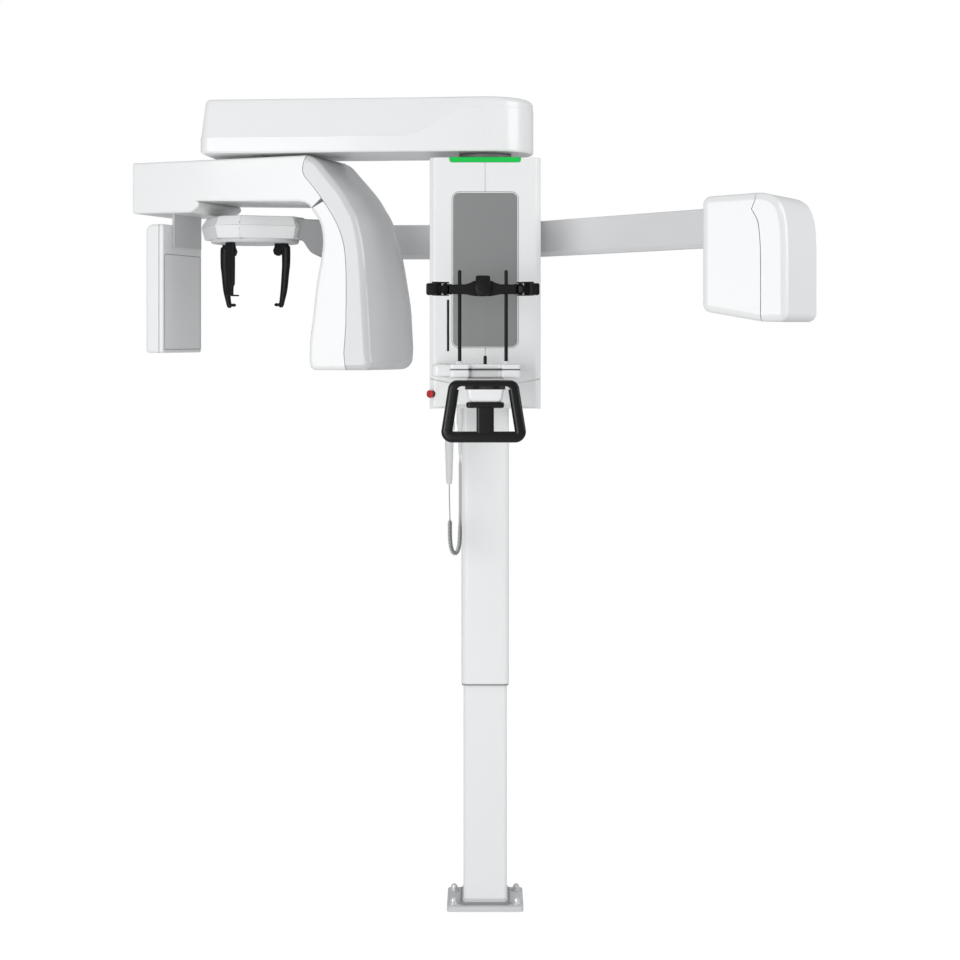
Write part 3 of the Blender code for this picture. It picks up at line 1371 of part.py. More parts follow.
def build_ear_set(lift):
    """The plate turns under the holder; ear arms and nasion support slide on it."""
    ear = empty("ear_holder_axis", (HOLDER_X, HOLDER_Y, 0), HEAD_YAW, lift)
    build_ear_plate(ear)
    build_ear_arm("left_ear_arm", -1, empty("left_ear_slide", (0, 0, 0), parent=ear))
    build_ear_arm("right_ear_arm", 1, empty("right_ear_slide", (0, 0, 0), parent=ear))
    build_nasion(empty("nasion_slide", (0, 0, 0), parent=ear))


def head_outline():
    """The X-ray head's side outline, (distance from its middle, z), +X away from the patient."""
    half, low, high = HEAD_HALF_LENGTH, HEAD_BOTTOM, HEAD_TOP
    return [
        (-half, low + 0.027),
        (-half + 0.060, low + 0.016),
        (-half + 0.105, low),
        (half - 0.010, low),
        (half, low + 0.012),
        (half, high - 0.130),
        (half - 0.004, high - 0.070),
        (half - 0.018, high - 0.028),
        (half - 0.040, high - 0.009),
        (half - 0.085, high),
        (-half + 0.018, high - 0.003),
        (-half + 0.005, high - 0.008),
        (-half, high - 0.020),
    ]


def split_outline(outline, at, keep):
    """The part of an outline on one side of a vertical line."""
    out = []
    for a, b in zip(outline, outline[1:] + outline[:1]):
        if (a[0] - at) * keep >= 0:
            out.append(a)
        if (a[0] - at) * (b[0] - at) < 0:
            t = (at - a[0]) / (b[0] - a[0])
            out.append((at, a[1] + t * (b[1] - a[1])))
    return out


def build_xray_head(lift):
    frame = empty("xray_head_frame", (HEAD_X, HEAD_Y, 0), HEAD_YAW, lift)
    outline = head_outline()
    half = HEAD_HALF_WIDTH
    for name, at, keep in (
        ("ceph_head_front_cover", HEAD_SEAM - GAP, -1),
        ("ceph_head_rear_cover", HEAD_SEAM, 1),
    ):
        piece = split_outline(outline, at, keep)
        cover = part(name, prism(piece, -half, half, "XZ"), WHITE, frame)
        walls = []
        for a, b in zip(piece, piece[1:] + piece[:1]):
            walls.append(-0.02 if abs(a[0] - at) + abs(b[0] - at) < 1e-6 else WALL)
        cut(cover, prism(inset(piece, walls), -half + WALL, half - WALL, "XZ"))
    mount_x = -HEAD_HALF_LENGTH + WALL + GAP
    tank_x = mount_x + 0.040
    low = HEAD_BOTTOM + 0.048
    high = HEAD_TOP - 0.076
    outline = rounded([(tank_x, low), (0.090, low), (0.090, high), (tank_x, high)], 0.012)
    tank = part("ceph_tube_tank", prism(outline, -0.075, 0.075, "XZ"), STEEL, frame)
    join(tank, box((mount_x, -0.035, low + 0.010), (tank_x + 0.010, 0.035, low + 0.110)))
    rest = HEAD_BOTTOM + 0.016 + WALL + 0.004
    join(tank, box((-0.020, -0.060, rest), (0.080, 0.060, low + 0.010)))


# ---------------------------------------------------------------- assembly


def clear_scene():
    for obj in list(bpy.data.objects):
        bpy.data.objects.remove(obj)


def build():
    clear_scene()
    lift = empty("column_lift_frame", (0, 0, 0))
    build_foot()
    build_mast()
    build_actuator(lift)
    build_sleeve(lift)
    build_carriage_covers(lift)
    tray = build_lower_cover(lift)
    build_rear_cover(lift)
    build_carriage_frame(lift)
    build_pivot_head(lift)
    build_shelf(lift)
    temple = empty("temple_slide_frame", (0, 0, 0), parent=lift)
    low, high = build_temple_support(temple)
    build_temple_knob(temple)
    build_temple_arms(temple, low, high)
    build_handle(lift)
    build_switch(lift)
    build_switch_holder(lift)
    build_cord(lift)
    build_emergency_stop(lift, tray)
    beam = empty("beam_pivot", (0, PIVOT_Y, 0), BEAM_YAW, lift)
    build_beam(beam)
    build_slide_rails(beam)
    slide = empty("rotor_slide_frame", (ROTOR_REACH, ROTOR_OFFSET, 0), parent=beam)
    build_rotor_carriage(slide)
    rotor = empty("rotor_axis", (0, 0, 0), ROTOR_YAW - BEAM_YAW, slide)
    build_rotor_drive(rotor)
    build_rotor_housing(rotor)
    build_tube_covers(rotor)
    build_rotor_frame(rotor)
    build_sensor(rotor)
    build_arm(lift)
    build_head_holder(lift)
    build_ear_set(lift)
    build_xray_head(lift)


build()
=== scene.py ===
"""Looks of a panoramic X-ray machine with a cephalometric arm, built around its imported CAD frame."""
import json
import math

import bmesh
import bpy
from mathutils import Matrix, Vector

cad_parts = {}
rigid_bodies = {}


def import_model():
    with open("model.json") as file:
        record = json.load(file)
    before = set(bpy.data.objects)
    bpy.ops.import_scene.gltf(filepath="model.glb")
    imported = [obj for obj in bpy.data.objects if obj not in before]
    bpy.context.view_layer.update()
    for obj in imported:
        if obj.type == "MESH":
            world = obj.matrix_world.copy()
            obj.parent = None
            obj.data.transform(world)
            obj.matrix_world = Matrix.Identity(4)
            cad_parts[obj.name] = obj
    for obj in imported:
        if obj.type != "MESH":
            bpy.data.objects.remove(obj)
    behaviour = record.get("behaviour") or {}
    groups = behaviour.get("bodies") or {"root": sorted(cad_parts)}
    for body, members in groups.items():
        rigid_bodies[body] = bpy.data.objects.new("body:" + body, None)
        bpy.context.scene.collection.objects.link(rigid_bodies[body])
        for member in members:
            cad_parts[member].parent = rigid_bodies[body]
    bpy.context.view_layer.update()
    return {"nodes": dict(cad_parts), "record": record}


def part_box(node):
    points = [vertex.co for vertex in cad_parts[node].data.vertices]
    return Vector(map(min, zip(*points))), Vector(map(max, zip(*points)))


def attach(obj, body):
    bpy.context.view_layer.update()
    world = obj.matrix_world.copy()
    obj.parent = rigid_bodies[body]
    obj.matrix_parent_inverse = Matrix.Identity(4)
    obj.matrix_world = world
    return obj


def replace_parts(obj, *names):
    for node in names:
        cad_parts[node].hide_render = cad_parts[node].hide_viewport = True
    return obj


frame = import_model()
nodes = frame["nodes"]

# ---------------------------------------------------------------- camera


def build_camera():
    data = bpy.data.cameras.new("camera")
    data.sensor_width = 36.0
    data.lens = 69.4
    data.shift_x = -0.0054
    data.shift_y = -0.150
    camera = bpy.data.objects.new("camera", data)
    camera.location = (0.0, -5.257, 1.607)
    camera.rotation_euler = (math.radians(90), 0.0, 0.0)
    bpy.context.collection.objects.link(camera)
    bpy.context.scene.camera = camera


build_camera()

# ---------------------------------------------------------------- materials


def shader_of(material):
    return material.node_tree.nodes["Principled BSDF"]


def finish(
    name, colour, roughness, metallic=0.0, mottle=0.02, grain=0.05, scale=300.0, coat=0.0, specular=0.5
):
    """A moulded or painted surface: faint colour mottling, uneven gloss and a fine grain."""
    material = bpy.data.materials.new(name)
    material.use_nodes = True
    tree = material.node_tree
    shader = shader_of(material)
    shader.inputs["Metallic"].default_value = metallic
    shader.inputs["Coat Weight"].default_value = coat
    shader.inputs["Specular IOR Level"].default_value = specular
    shader.inputs["Coat Roughness"].default_value = 0.06
    place = tree.nodes.new("ShaderNodeTexCoord")
    broad = tree.nodes.new("ShaderNodeTexNoise")
    broad.inputs["Scale"].default_value = 7.0
    broad.inputs["Detail"].default_value = 3.0
    fine = tree.nodes.new("ShaderNodeTexNoise")
    fine.inputs["Scale"].default_value = scale
    fine.inputs["Detail"].default_value = 2.0
    ramp = tree.nodes.new("ShaderNodeMix")
    ramp.data_type = "RGBA"
    ramp.inputs[6].default_value = (*[c * (1 - mottle) for c in colour], 1.0)
    ramp.inputs[7].default_value = (*[min(c * (1 + mottle), 1.0) for c in colour], 1.0)
    gloss = tree.nodes.new("ShaderNodeMapRange")
    gloss.inputs["To Min"].default_value = roughness * 0.88
    gloss.inputs["To Max"].default_value = roughness * 1.12
    bump = tree.nodes.new("ShaderNodeBump")
    bump.inputs["Strength"].default_value = grain
    bump.inputs["Distance"].default_value = 0.0004
    link = tree.links.new
    link(place.outputs["Object"], broad.inputs["Vector"])
    link(place.outputs["Object"], fine.inputs["Vector"])
    link(broad.outputs["Fac"], ramp.inputs["Factor"])
    link(ramp.outputs[2], shader.inputs["Base Color"])
    link(broad.outputs["Fac"], gloss.inputs["Value"])
    link(gloss.outputs["Result"], shader.inputs["Roughness"])
    link(fine.outputs["Fac"], bump.inputs["Height"])
    link(bump.outputs["Normal"], shader.inputs["Normal"])
    return material


# colour, roughness, then what differs from a plain finish
LOOK_TABLE = {
    "gloss_white": ((0.915, 0.915, 0.91), 0.24, dict(mottle=0.006, grain=0.03, coat=0.25)),
    "satin_white": ((0.70, 0.705, 0.71), 0.42, dict(mottle=0.012, grain=0.08)),
    "light_grey": ((0.64, 0.643, 0.648), 0.38, dict(grain=0.10, scale=500.0)),
    "grey_gloss": ((0.68, 0.683, 0.686), 0.16, dict(mottle=0.01, grain=0.02, coat=0.4)),
    "mirror": ((0.29, 0.292, 0.29), 0.30, dict(metallic=0.25, mottle=0.01, grain=0.0)),
    "black_plastic": (
        (0.0045, 0.0045, 0.005), 0.38, dict(mottle=0.10, grain=0.20, scale=900.0, specular=0.22)
    ),
    "dark_plastic": ((0.03, 0.03, 0.033), 0.40, dict(mottle=0.06, grain=0.15, scale=700.0, specular=0.3)),
    "green_lens": ((0.012, 0.62, 0.088), 0.35, dict(mottle=0.03, grain=0.02, specular=0.2)),
    "red_button": ((0.52, 0.008, 0.015), 0.25, dict(mottle=0.03, grain=0.02, coat=0.3)),
    "steel": ((0.45, 0.45, 0.46), 0.34, dict(metallic=1.0, mottle=0.05, grain=0.15, scale=600.0)),
    "aluminium": ((0.66, 0.67, 0.68), 0.36, dict(metallic=0.55, mottle=0.02, grain=0.10, scale=800.0)),
    "seam_dark": ((0.10, 0.10, 0.105), 0.6, dict(mottle=0.05, grain=0.05)),
    "bolt_steel": ((0.78, 0.785, 0.79), 0.32, dict(metallic=0.5, mottle=0.03, grain=0.08, scale=600.0)),
    "cord_grey": ((0.25, 0.252, 0.255), 0.5, dict(mottle=0.03, grain=0.05)),
    "band_grey": ((0.30, 0.303, 0.306), 0.45, dict(mottle=0.03, grain=0.08, scale=500.0)),
    "seam_grey": ((0.25, 0.25, 0.26), 0.5, dict(mottle=0.05, grain=0.05)),
    "sensor_grey": ((0.90, 0.903, 0.906), 0.40, dict(mottle=0.015, grain=0.10, scale=600.0)),
    # painted shade: a darker grey for the arm's neck, where the tube housing shades it, and for the ring
    # under the beam, where the beam shades it
    "painted_shade_grey": ((0.30, 0.303, 0.306), 0.38, dict(mottle=0.015, grain=0.06, scale=600.0)),
    "arm_grey": (
        (0.74, 0.742, 0.745), 0.38, dict(metallic=0.05, mottle=0.015, grain=0.06, scale=600.0)
    ),
    "window_dark": ((0.01, 0.01, 0.011), 0.35, dict(mottle=0.05, grain=0.02, specular=0.2)),
    "black_gloss": ((0.004, 0.004, 0.0045), 0.22, dict(mottle=0.06, grain=0.03, coat=0.10, specular=0.3)),
}  # fmt: skip
LOOKS = {name: finish(name, colour, gloss, **rest) for name, (colour, gloss, rest) in LOOK_TABLE.items()}

slot_of = {row["node"]: row["material_slot"] for row in frame["record"]["subparts"]}
body_of_node = {n: b for b, names in frame["record"]["behaviour"]["bodies"].items() for n in names}

for node, thing in nodes.items():
    thing.data.materials.clear()
    thing.data.materials.append(LOOKS[slot_of[node]])

# ---------------------------------------------------------------- modelling helpers


def steady(piece):
    """Lets large flat faces keep their shading next to rounded edges."""
    modifier = piece.modifiers.new("normals", "WEIGHTED_NORMAL")
    modifier.mode = "FACE_AREA"
    modifier.keep_sharp = True


def new_piece(name, bm, slot, body, angle=32.0, look=None):
    """One object on a body, in its slot's look, smooth except at its sharp edges."""
    mesh = bpy.data.meshes.new(name)
    bm.to_mesh(mesh)
    bm.free()
    mesh.materials.append(LOOKS[look or slot])
    mesh.shade_smooth()
    mesh.set_sharp_from_angle(angle=math.radians(angle))
    piece = bpy.data.objects.new(name, mesh)
    bpy.context.collection.objects.link(piece)
    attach(piece, body)
    steady(piece)
    return piece


def white(name, bm, angle=32.0, body="carriage"):
    return new_piece(name, bm, "gloss_white", body, angle)


def black(name, bm, angle=32.0, body="carriage", look=None):
    return new_piece(name, bm, "black_plastic", body, angle, look)


def grey(name, bm, look=None, angle=32.0, body="carriage"):
    return new_piece(name, bm, "light_grey", body, angle, look)


def bevelled(piece, width, segments=3, angle=28.0):
    """Rounds a piece's edges, before its normals are weighted."""
    modifier = piece.modifiers.new("edges", "BEVEL")
    modifier.width = width
    modifier.segments = segments
    modifier.limit_method = "ANGLE"
    modifier.angle_limit = math.radians(angle)
    modifier.use_clamp_overlap = True
    piece.modifiers.move(len(piece.modifiers) - 1, 0)


def softened(node, width):
    """A node's own shape with its edges rounded, in place of the node."""
    bm = bmesh.new()
    bm.from_mesh(nodes[node].data)
    bmesh.ops.remove_doubles(bm, verts=bm.verts, dist=0.00002)
    bmesh.ops.dissolve_limit(bm, angle_limit=math.radians(1.0), verts=bm.verts, edges=bm.edges)
    piece = new_piece(node + "_shell", bm, slot_of[node], body_of_node[node], angle=28.0)
    bevelled(piece, width)
    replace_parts(piece, node)


def smooth_path(points, per_span=8):
    """A Catmull-Rom curve through the points."""
    knots = [Vector(p) for p in points]
    knots = [2 * knots[0] - knots[1]] + knots + [2 * knots[-1] - knots[-2]]
    path = []
    for a, b, c, d in zip(knots, knots[1:], knots[2:], knots[3:]):
        for k in range(per_span):
            t = k / per_span
            bend = 2 * a - 5 * b + 4 * c - d
            twist = 3 * b - a - 3 * c + d
            path.append((2 * b + (c - a) * t + bend * t**2 + twist * t**3) / 2)
    path.append(knots[-2])
    return path


def eased(share):
    """0 to 1, slow at both ends, and held there beyond them."""
    t = max(0.0, min(1.0, share))
    return t * t * (3 - 2 * t)


def angles_round(steps):
    return [2 * math.pi * k / steps for k in range(steps)]


# ---------------------------------------------------------------- cord

WIRE = 0.0026
COIL_RADIUS = (0.0050, 0.0033)  # from the coil's middle to the wire's middle, slack and stretched
COIL_TURNS = 74
STRETCH = 1.9  # how much longer each turn is where the cord hangs by its own weight
HANG_START = 0.58  # where the stretching starts, as a share of the coil
HANG_BLEND = 0.16
BLEND_TURNS = 2.0  # turns over which the coil opens out at either end
TURN_POINTS = 13
STRAIGHT_LEAD = 0.094
STRAIGHT_END = 0.006
LEAD_POINTS = 12
SWITCH_Y = -0.180
LEAD = [(-0.0985, 1.2007), (-0.0984, 1.180), (-0.0978, 1.150), (-0.0970, 1.125), (-0.0966, 1.1081)]
CURL = [
    (-0.0968, 1.080), (-0.0962, 1.050), (-0.0935, 1.027), (-0.0885, 1.014), (-0.0830, 1.0105),
    (-0.0775, 1.014), (-0.0725, 1.027), (-0.0698, 1.050), (-0.0690, 1.090), (-0.0688, 1.150),
    (-0.0689, 1.220), (-0.0692, 1.2801),
]  # fmt: skip


def walker(points):
    """The length of a route, and a function from a distance along it to the place and direction."""
    spread = [0.0]
    for a, b in zip(points, points[1:]):
        spread.append(spread[-1] + (b - a).length)

    def at(distance):
        i = max(k for k, s in enumerate(spread[:-1]) if s <= distance + 1e-9)
        t = (distance - spread[i]) / (spread[i + 1] - spread[i])
        return points[i].lerp(points[i + 1], t), (points[i + 1] - points[i]).normalized()

    return spread[-1], at


def cord_path():
    """The wire's middle: a straight lead from the switch, then the coil up to the strain relief."""
    total, at = walker(smooth_path([(x, SWITCH_Y, z) for x, z in LEAD + CURL], 30))
    path = [at(STRAIGHT_LEAD * k / LEAD_POINTS)[0] for k in range(LEAD_POINTS)]
    run = total - STRAIGHT_LEAD - STRAIGHT_END
    count = COIL_TURNS * TURN_POINTS
    rates = []
    for k in range(count + 1):
        near_end = max(0.0, 1 - min(k, count - k) / (BLEND_TURNS * TURN_POINTS))
        hanging = eased((k / count - HANG_START) / HANG_BLEND)
        rates.append((1 + (STRETCH - 1) * hanging) * (1 + near_end * near_end))
    whole = sum(rates[:-1])
    gone = 0.0
    slack, tight = COIL_RADIUS
    side = Vector((0, 1, 0))
    for k in range(count + 1):
        turn = k / TURN_POINTS
        middle, ahead = at(STRAIGHT_LEAD + run * gone / whole)
        gone += rates[k]
        radius = slack + (tight - slack) * eased((k / count - HANG_START) / HANG_BLEND)
        radius *= min(1.0, turn / BLEND_TURNS, (COIL_TURNS - turn) / BLEND_TURNS)
        angle = 2 * math.pi * turn
        path.append(middle + radius * (side * math.cos(angle) + ahead.cross(side) * math.sin(angle)))
    path.append(at(total - 0.0001)[0])
    return path


def build_cord():
    """The hand switch's curly cord, as one round wire."""
    path = cord_path()
    curve = bpy.data.curves.new("curly_cord_wire", "CURVE")
    curve.dimensions = "3D"
    curve.bevel_depth = WIRE / 2
    curve.bevel_resolution = 2
    curve.use_fill_caps = True
    spline = curve.splines.new("POLY")
    spline.points.add(len(path) - 1)
    for point, place in zip(spline.points, path):
        point.co = (*place, 1.0)
    curve.materials.append(LOOKS["cord_grey"])
    cord = bpy.data.objects.new("curly_cord_wire", curve)
    bpy.context.collection.objects.link(cord)
    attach(cord, "carriage")
    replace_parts(cord, "curly_cord", "switch_lead")


build_cord()

# ---------------------------------------------------------------- shaping

QUARTER = math.pi / 2


def outward(points, cuts=()):
    """Offset directions at a closed outline's points; a cut edge, from point i on, stays in line."""
    area = sum(a[0] * b[1] - b[0] * a[1] for a, b in zip(points, points[1:] + points[:1]))
    turn = 1 if area > 0 else -1
    count = len(points)
    normals = []
    for i, point in enumerate(points):
        before = (Vector(point) - Vector(points[i - 1])).normalized()
        after = (Vector(points[(i + 1) % count]) - Vector(point)).normalized()
        if i in cuts and (i - 1) % count in cuts:
            normals.append(Vector((0.0, 0.0)))
            continue
        if i in cuts or (i - 1) % count in cuts:
            edge, face = (-after, before) if i in cuts else (before, after)
            normal = Vector((face.y, -face.x)) * turn
            normals.append(edge / max(0.3, edge.dot(normal)))
            continue
        along = (before + after).normalized()
        stretch = 1 / max(0.5, along.dot(after))
        normals.append(Vector((along.y, -along.x)) * turn * stretch)
    return normals


def loft(rings, matrix=None, cyclic=False):
    """A skin over rings of equally many points, with flat ends unless the last joins the first."""
    bm = bmesh.new()
    loops = [[bm.verts.new(p) for p in ring] for ring in rings]
    pairs = list(zip(loops, loops[1:]))
    if cyclic:
        pairs.append((loops[-1], loops[0]))
    for low, high in pairs:
        for i in range(len(low)):
            j = (i + 1) % len(low)
            bm.faces.new((low[i], low[j], high[j], high[i]))
    if not cyclic:
        bm.faces.new(loops[0])
        bm.faces.new(loops[-1])
    bmesh.ops.recalc_face_normals(bm, faces=bm.faces)
    if matrix is not None:
        bmesh.ops.transform(bm, matrix=matrix, verts=bm.verts)
    return bm


def slab(outline, low, high, radius, matrix=None, cuts=(), push=None, spans=1, steps=5):
    """An (x, z) outline between two places along y, rounded over at both, except along its cuts."""
    normals = outward(outline, cuts)
    stations = [(low, 0.0)]
    if radius:
        turns = [QUARTER * k / steps for k in range(steps + 1)]
        stations = [(low + radius * (1 - math.cos(a)), radius * (1 - math.sin(a))) for a in turns]
    for k in range(1, spans):
        stations.append((low + radius + (high - low - 2 * radius) * k / spans, 0.0))
    if radius:
        stations += [(high - radius * (1 - math.sin(a)), radius * (1 - math.cos(a))) for a in turns]
    else:
        stations.append((high, 0.0))
    rings = []
    for y, shrink in stations:
        ring = []
        for i, ((x, z), normal) in enumerate(zip(outline, normals)):
            extra = push(i, z, y) if push else 0.0
            ring.append((x - normal.x * shrink + extra, y, z - normal.y * shrink))
        rings.append(ring)
    return loft(rings, matrix)


def rounded(corners, radius, steps=6):
    """An outline with each corner replaced by an arc; radius may be one value or one for each."""
    radii = radius if isinstance(radius, (list, tuple)) else [radius] * len(corners)
    points = []
    for i, corner in enumerate(corners):
        here = Vector(corner)
        before = (Vector(corners[i - 1]) - here).normalized()
        after = (Vector(corners[(i + 1) % len(corners)]) - here).normalized()
        if radii[i] == 0:
            points.append(tuple(here))
            continue
        half = before.angle(after) / 2
        middle = here + (before + after).normalized() * (radii[i] / math.sin(half))
        start = here + before * (radii[i] / math.tan(half)) - middle
        turn = start.angle_signed(here + after * (radii[i] / math.tan(half)) - middle)
        for k in range(steps + 1):
            spoke = start.copy()
            spoke.rotate(Matrix.Rotation(-turn * k / steps, 2))
            points.append(tuple(middle + spoke))
    return points


def oblong(x_low, y_low, x_high, y_high, radius=0.0, steps=6):
    """A rectangle's outline, anticlockwise from its low corner, with rounded corners."""
    return rounded([(x_low, y_low), (x_high, y_low), (x_high, y_high), (x_low, y_high)], radius, steps)


def shrunk(outline, inset):
    return [(x - n.x * inset, y - n.y * inset) for (x, y), n in zip(outline, outward(outline))]


def bead(outline, inner, outer, near, far):
    """A square bead round an (x, z) outline, between two distances out and two places along y."""
    rings = []
    for out, y in ((inner, near), (inner, far), (outer, far), (outer, near)):
        rings.append([(x, y, z) for x, z in shrunk(outline, -out)])
    return loft(rings, cyclic=True)


def placed(x, y, yaw):
    return Matrix.Translation((x, y, 0)) @ Matrix.Rotation(yaw, 4, "Z")


def smooth_2d(points, per_span=6):
    return [(p.x, p.y) for p in smooth_path([Vector((x, y, 0)) for x, y in points], per_span)]


def axis_of(joint):
    row = next(j for j in frame["record"]["behaviour"]["joints"] if j["name"] == joint)
    return Vector(row["pos_m"])


# ---------------------------------------------------------------- overhead beam

BEAM_YAW = math.radians(-5.2)
BEAM_REACH = 0.785
BEAM_HALF = 0.135
BEAM_CORNER = 0.030
BEAM_LEAN = 0.014
BEAM_SPANS = 22
RISE_START = -0.215  # where the lower band starts to rise, along the beam
RISE_LENGTH = 0.190


def beam_plan(inset):
    """The beam's plan, anticlockwise from the end over the column, moved in all round."""
    half = BEAM_HALF - inset
    turns = [-QUARTER + math.pi * k / 28 for k in range(29)]
    points = [(half * math.cos(a), half * math.sin(a)) for a in turns]
    end = -BEAM_REACH + inset
    along = [end * k / BEAM_SPANS for k in range(1, BEAM_SPANS)]
    points += [(x, half) for x in along]
    for middle, first in ((half - BEAM_CORNER, 90), (-half + BEAM_CORNER, 180)):
        for k in range(7):
            a = math.radians(first + 90 * k / 6)
            points.append((end + BEAM_CORNER + BEAM_CORNER * math.cos(a), middle + BEAM_CORNER * math.sin(a)))
    return points + [(x, -half) for x in along[::-1]]


def build_beam():
    """A beam whose lower band rises in an S-curve to its full height over the column."""
    pivot = axis_of("beam_swing")
    low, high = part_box("beam_tray")[0][2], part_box("beam_cover")[1][2]
    crease_low, crease_high = low + 0.0445, high - 0.030
    base = beam_plan(0.0)
    normals = outward(base)

    def ring(share_low, share_high, inset_low, inset_high, lift=0.0):
        """One level, as a share of the way from the crease to the top, with its own inset."""
        points = []
        for (x, y), normal in zip(base, normals):
            r = eased((x - RISE_START) / RISE_LENGTH)
            crease = crease_low + (crease_high - crease_low) * r
            lean = inset_low + (inset_high - inset_low) * r
            share = share_low + (share_high - share_low) * r
            z = crease + (high - crease) * share + lift
            points.append((x - normal.x * lean, y - normal.y * lean, z))
        return points

    rings = []
    for inset, up in ((0.020, 0.001), (0.007, 0.0), (0.0045, 0.0007), (0.002, 0.0025), (0.0, 0.007)):
        rings.append([(x, y, low + up) for x, y in beam_plan(inset)])
    rings.append(ring(0, 0, 0.0, 0.0, -0.0006))
    rings.append(ring(0, 0, 0.0012, 0.0012, -0.0001))
    rings.append(ring(0.01, 0.02, 0.0016, 0.0006))
    for a, b in ((0.25, 0.20), (0.50, 0.40), (0.75, 0.50), (0.86, 0.60)):
        rings.append(ring(a, b, 0.0016 + BEAM_LEAN * a, 0.0006 + 0.002 * b))
    for k in range(1, 9):
        turn = QUARTER * k / 8
        up, over = math.sin(turn), 1 - math.cos(turn)
        rings.append(ring(0.86 + 0.14 * up, 0.60 + 0.40 * up, 0.014 + 0.014 * over, 0.004 + 0.020 * over))
    skin = loft(rings, placed(pivot.x, pivot.y, BEAM_YAW))
    shell = white("beam_shell", skin, 50, "overhead_beam")
    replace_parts(shell, "beam_tray", "beam_cover")


# ---------------------------------------------------------------- rotor

ROTOR_YAW = math.radians(-18.2)
ROTOR_FRONT, ROTOR_BACK = -0.135, 0.145
TUBE_SWELL = 0.062
SEAM_GAP = 0.0009


def rotor_matrix():
    axis = axis_of("rotor_turn")
    return placed(axis.x, axis.y, ROTOR_YAW)


def rotor_outlines():
    """The rotor's edges as (x, z) curves in its own frame: seam, inside edge and back edge."""
    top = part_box("rotor_housing")[1][2]
    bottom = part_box("tube_outer_cover")[0][2]
    seam = [
        (0.197, 0.0), (0.187, 0.033), (0.192, 0.057), (0.2125, 0.081), (0.249, 0.128), (0.286, 0.185),
        (0.308, 0.242), (0.3155, 0.302), (0.317, 0.377), (0.3156, 0.470), (0.310, 0.547),
    ]  # fmt: skip
    inner = [
        (0.204, 0.567), (0.206, 0.508), (0.215, 0.445), (0.225, 0.3605), (0.240, 0.279),
        (0.244, 0.233), (0.236, 0.187), (0.211, 0.1485),
    ]  # fmt: skip
    outer = [
        (0.380, 0.560), (0.3755, 0.480), (0.369, 0.360), (0.3655, 0.303), (0.358, 0.239), (0.343, 0.176),
        (0.3245, 0.140), (0.300, 0.100), (0.252, 0.043), (0.226, 0.014), (0.202, 0.0),
    ]  # fmt: skip
    curves = []
    for points in (seam, inner, outer):
        curves.append(smooth_2d([(x, top - drop) for x, drop in points]))
    return top, bottom, *curves


def build_rotor():
    """The rotor's beam, and the tube housing's white front and swollen grey back."""
    top, bottom, seam, inner, outer = rotor_outlines()
    matrix = rotor_matrix()
    front, back = ROTOR_FRONT, ROTOR_BACK
    left = -0.342
    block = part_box("rotor_housing")[0][2]
    raised = block + 0.0245
    upper = [p for p in seam if p[1] >= raised + 0.001]
    lower = [p for p in seam if p[1] < raised + 0.001]

    under = [(left, top), (left, block), (-0.156, block), (-0.124, raised)]
    housing = rounded(under, [0.008, 0.0072, 0.010, 0.010])
    housing += [(0.120, raised), (0.170, raised - 0.0005), (0.192, raised - 0.004)]
    housing += [(0.205, raised - 0.012), (0.211, raised - 0.0205)]
    low_end = len(housing) - 1
    seam_side = [(x - SEAM_GAP, z) for x, z in upper[::-1] if z < top - 0.009]
    housing += seam_side + [(seam[0][0] - SEAM_GAP, top)]
    cuts = range(low_end, len(housing) - 1)
    piece = white("rotor_body", slab(housing, front, back, 0.007, matrix, cuts), 40, "rotor")
    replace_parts(piece, "rotor_housing", "rotor_bottom_cover")

    start = (lower[0][0] - SEAM_GAP, lower[0][1] - 0.001)
    falling = [(x - SEAM_GAP, z) for x, z in lower[1:] if z > bottom + 0.013]
    inner_edge = [(x, z - 0.0012) for x, z in inner if z > bottom + 0.02]
    outline = [start] + falling + [(0.3140, bottom), (0.219, bottom), (0.209, bottom + 0.006)] + inner_edge
    cuts = [*range(len(falling) + 1), len(outline) - 1]
    piece = white("tube_front_shell", slab(outline, front, back, 0.012, matrix, cuts), 40, "rotor")
    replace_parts(piece, "tube_inner_cover")

    heel = rounded([(0.316, bottom), (0.386, bottom), (0.3815, bottom + 0.070)], [0.0, 0.024, 0.0], 10)
    back_edge = outer[1:]
    down = [(x + SEAM_GAP, z) for x, z in seam if top - 0.018 > z > bottom + 0.018]
    outline = [(0.3155, bottom)] + heel[1:-1] + back_edge + [(seam[0][0] + SEAM_GAP, top)] + down
    last = 1 + len(heel[1:-1]) + len(back_edge)

    def push(i, z, y):
        """How far the housing's back swells out, most below its middle and towards the rear."""
        if i < 1 or i >= last:
            return 0.0
        along = ((y - front) / (back - front)) ** 1.5
        drop = max(0.0, min(1.0, (top - 0.020 - z) / 0.410))
        crown = 1 - (1 - drop) ** 1.15
        foot = min(1.0, 0.70 + (z - bottom) / 0.170)
        return TUBE_SWELL * crown * foot * max(0.0, math.sin(math.pi * along)) ** 0.8

    bm = slab(outline, front, back, 0.016, matrix, range(last, len(outline)), push, spans=14, steps=8)
    piece = new_piece("tube_back_shell", bm, "grey_gloss", "rotor", angle=45)
    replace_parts(piece, "tube_outer_cover")


# ---------------------------------------------------------------- sensor


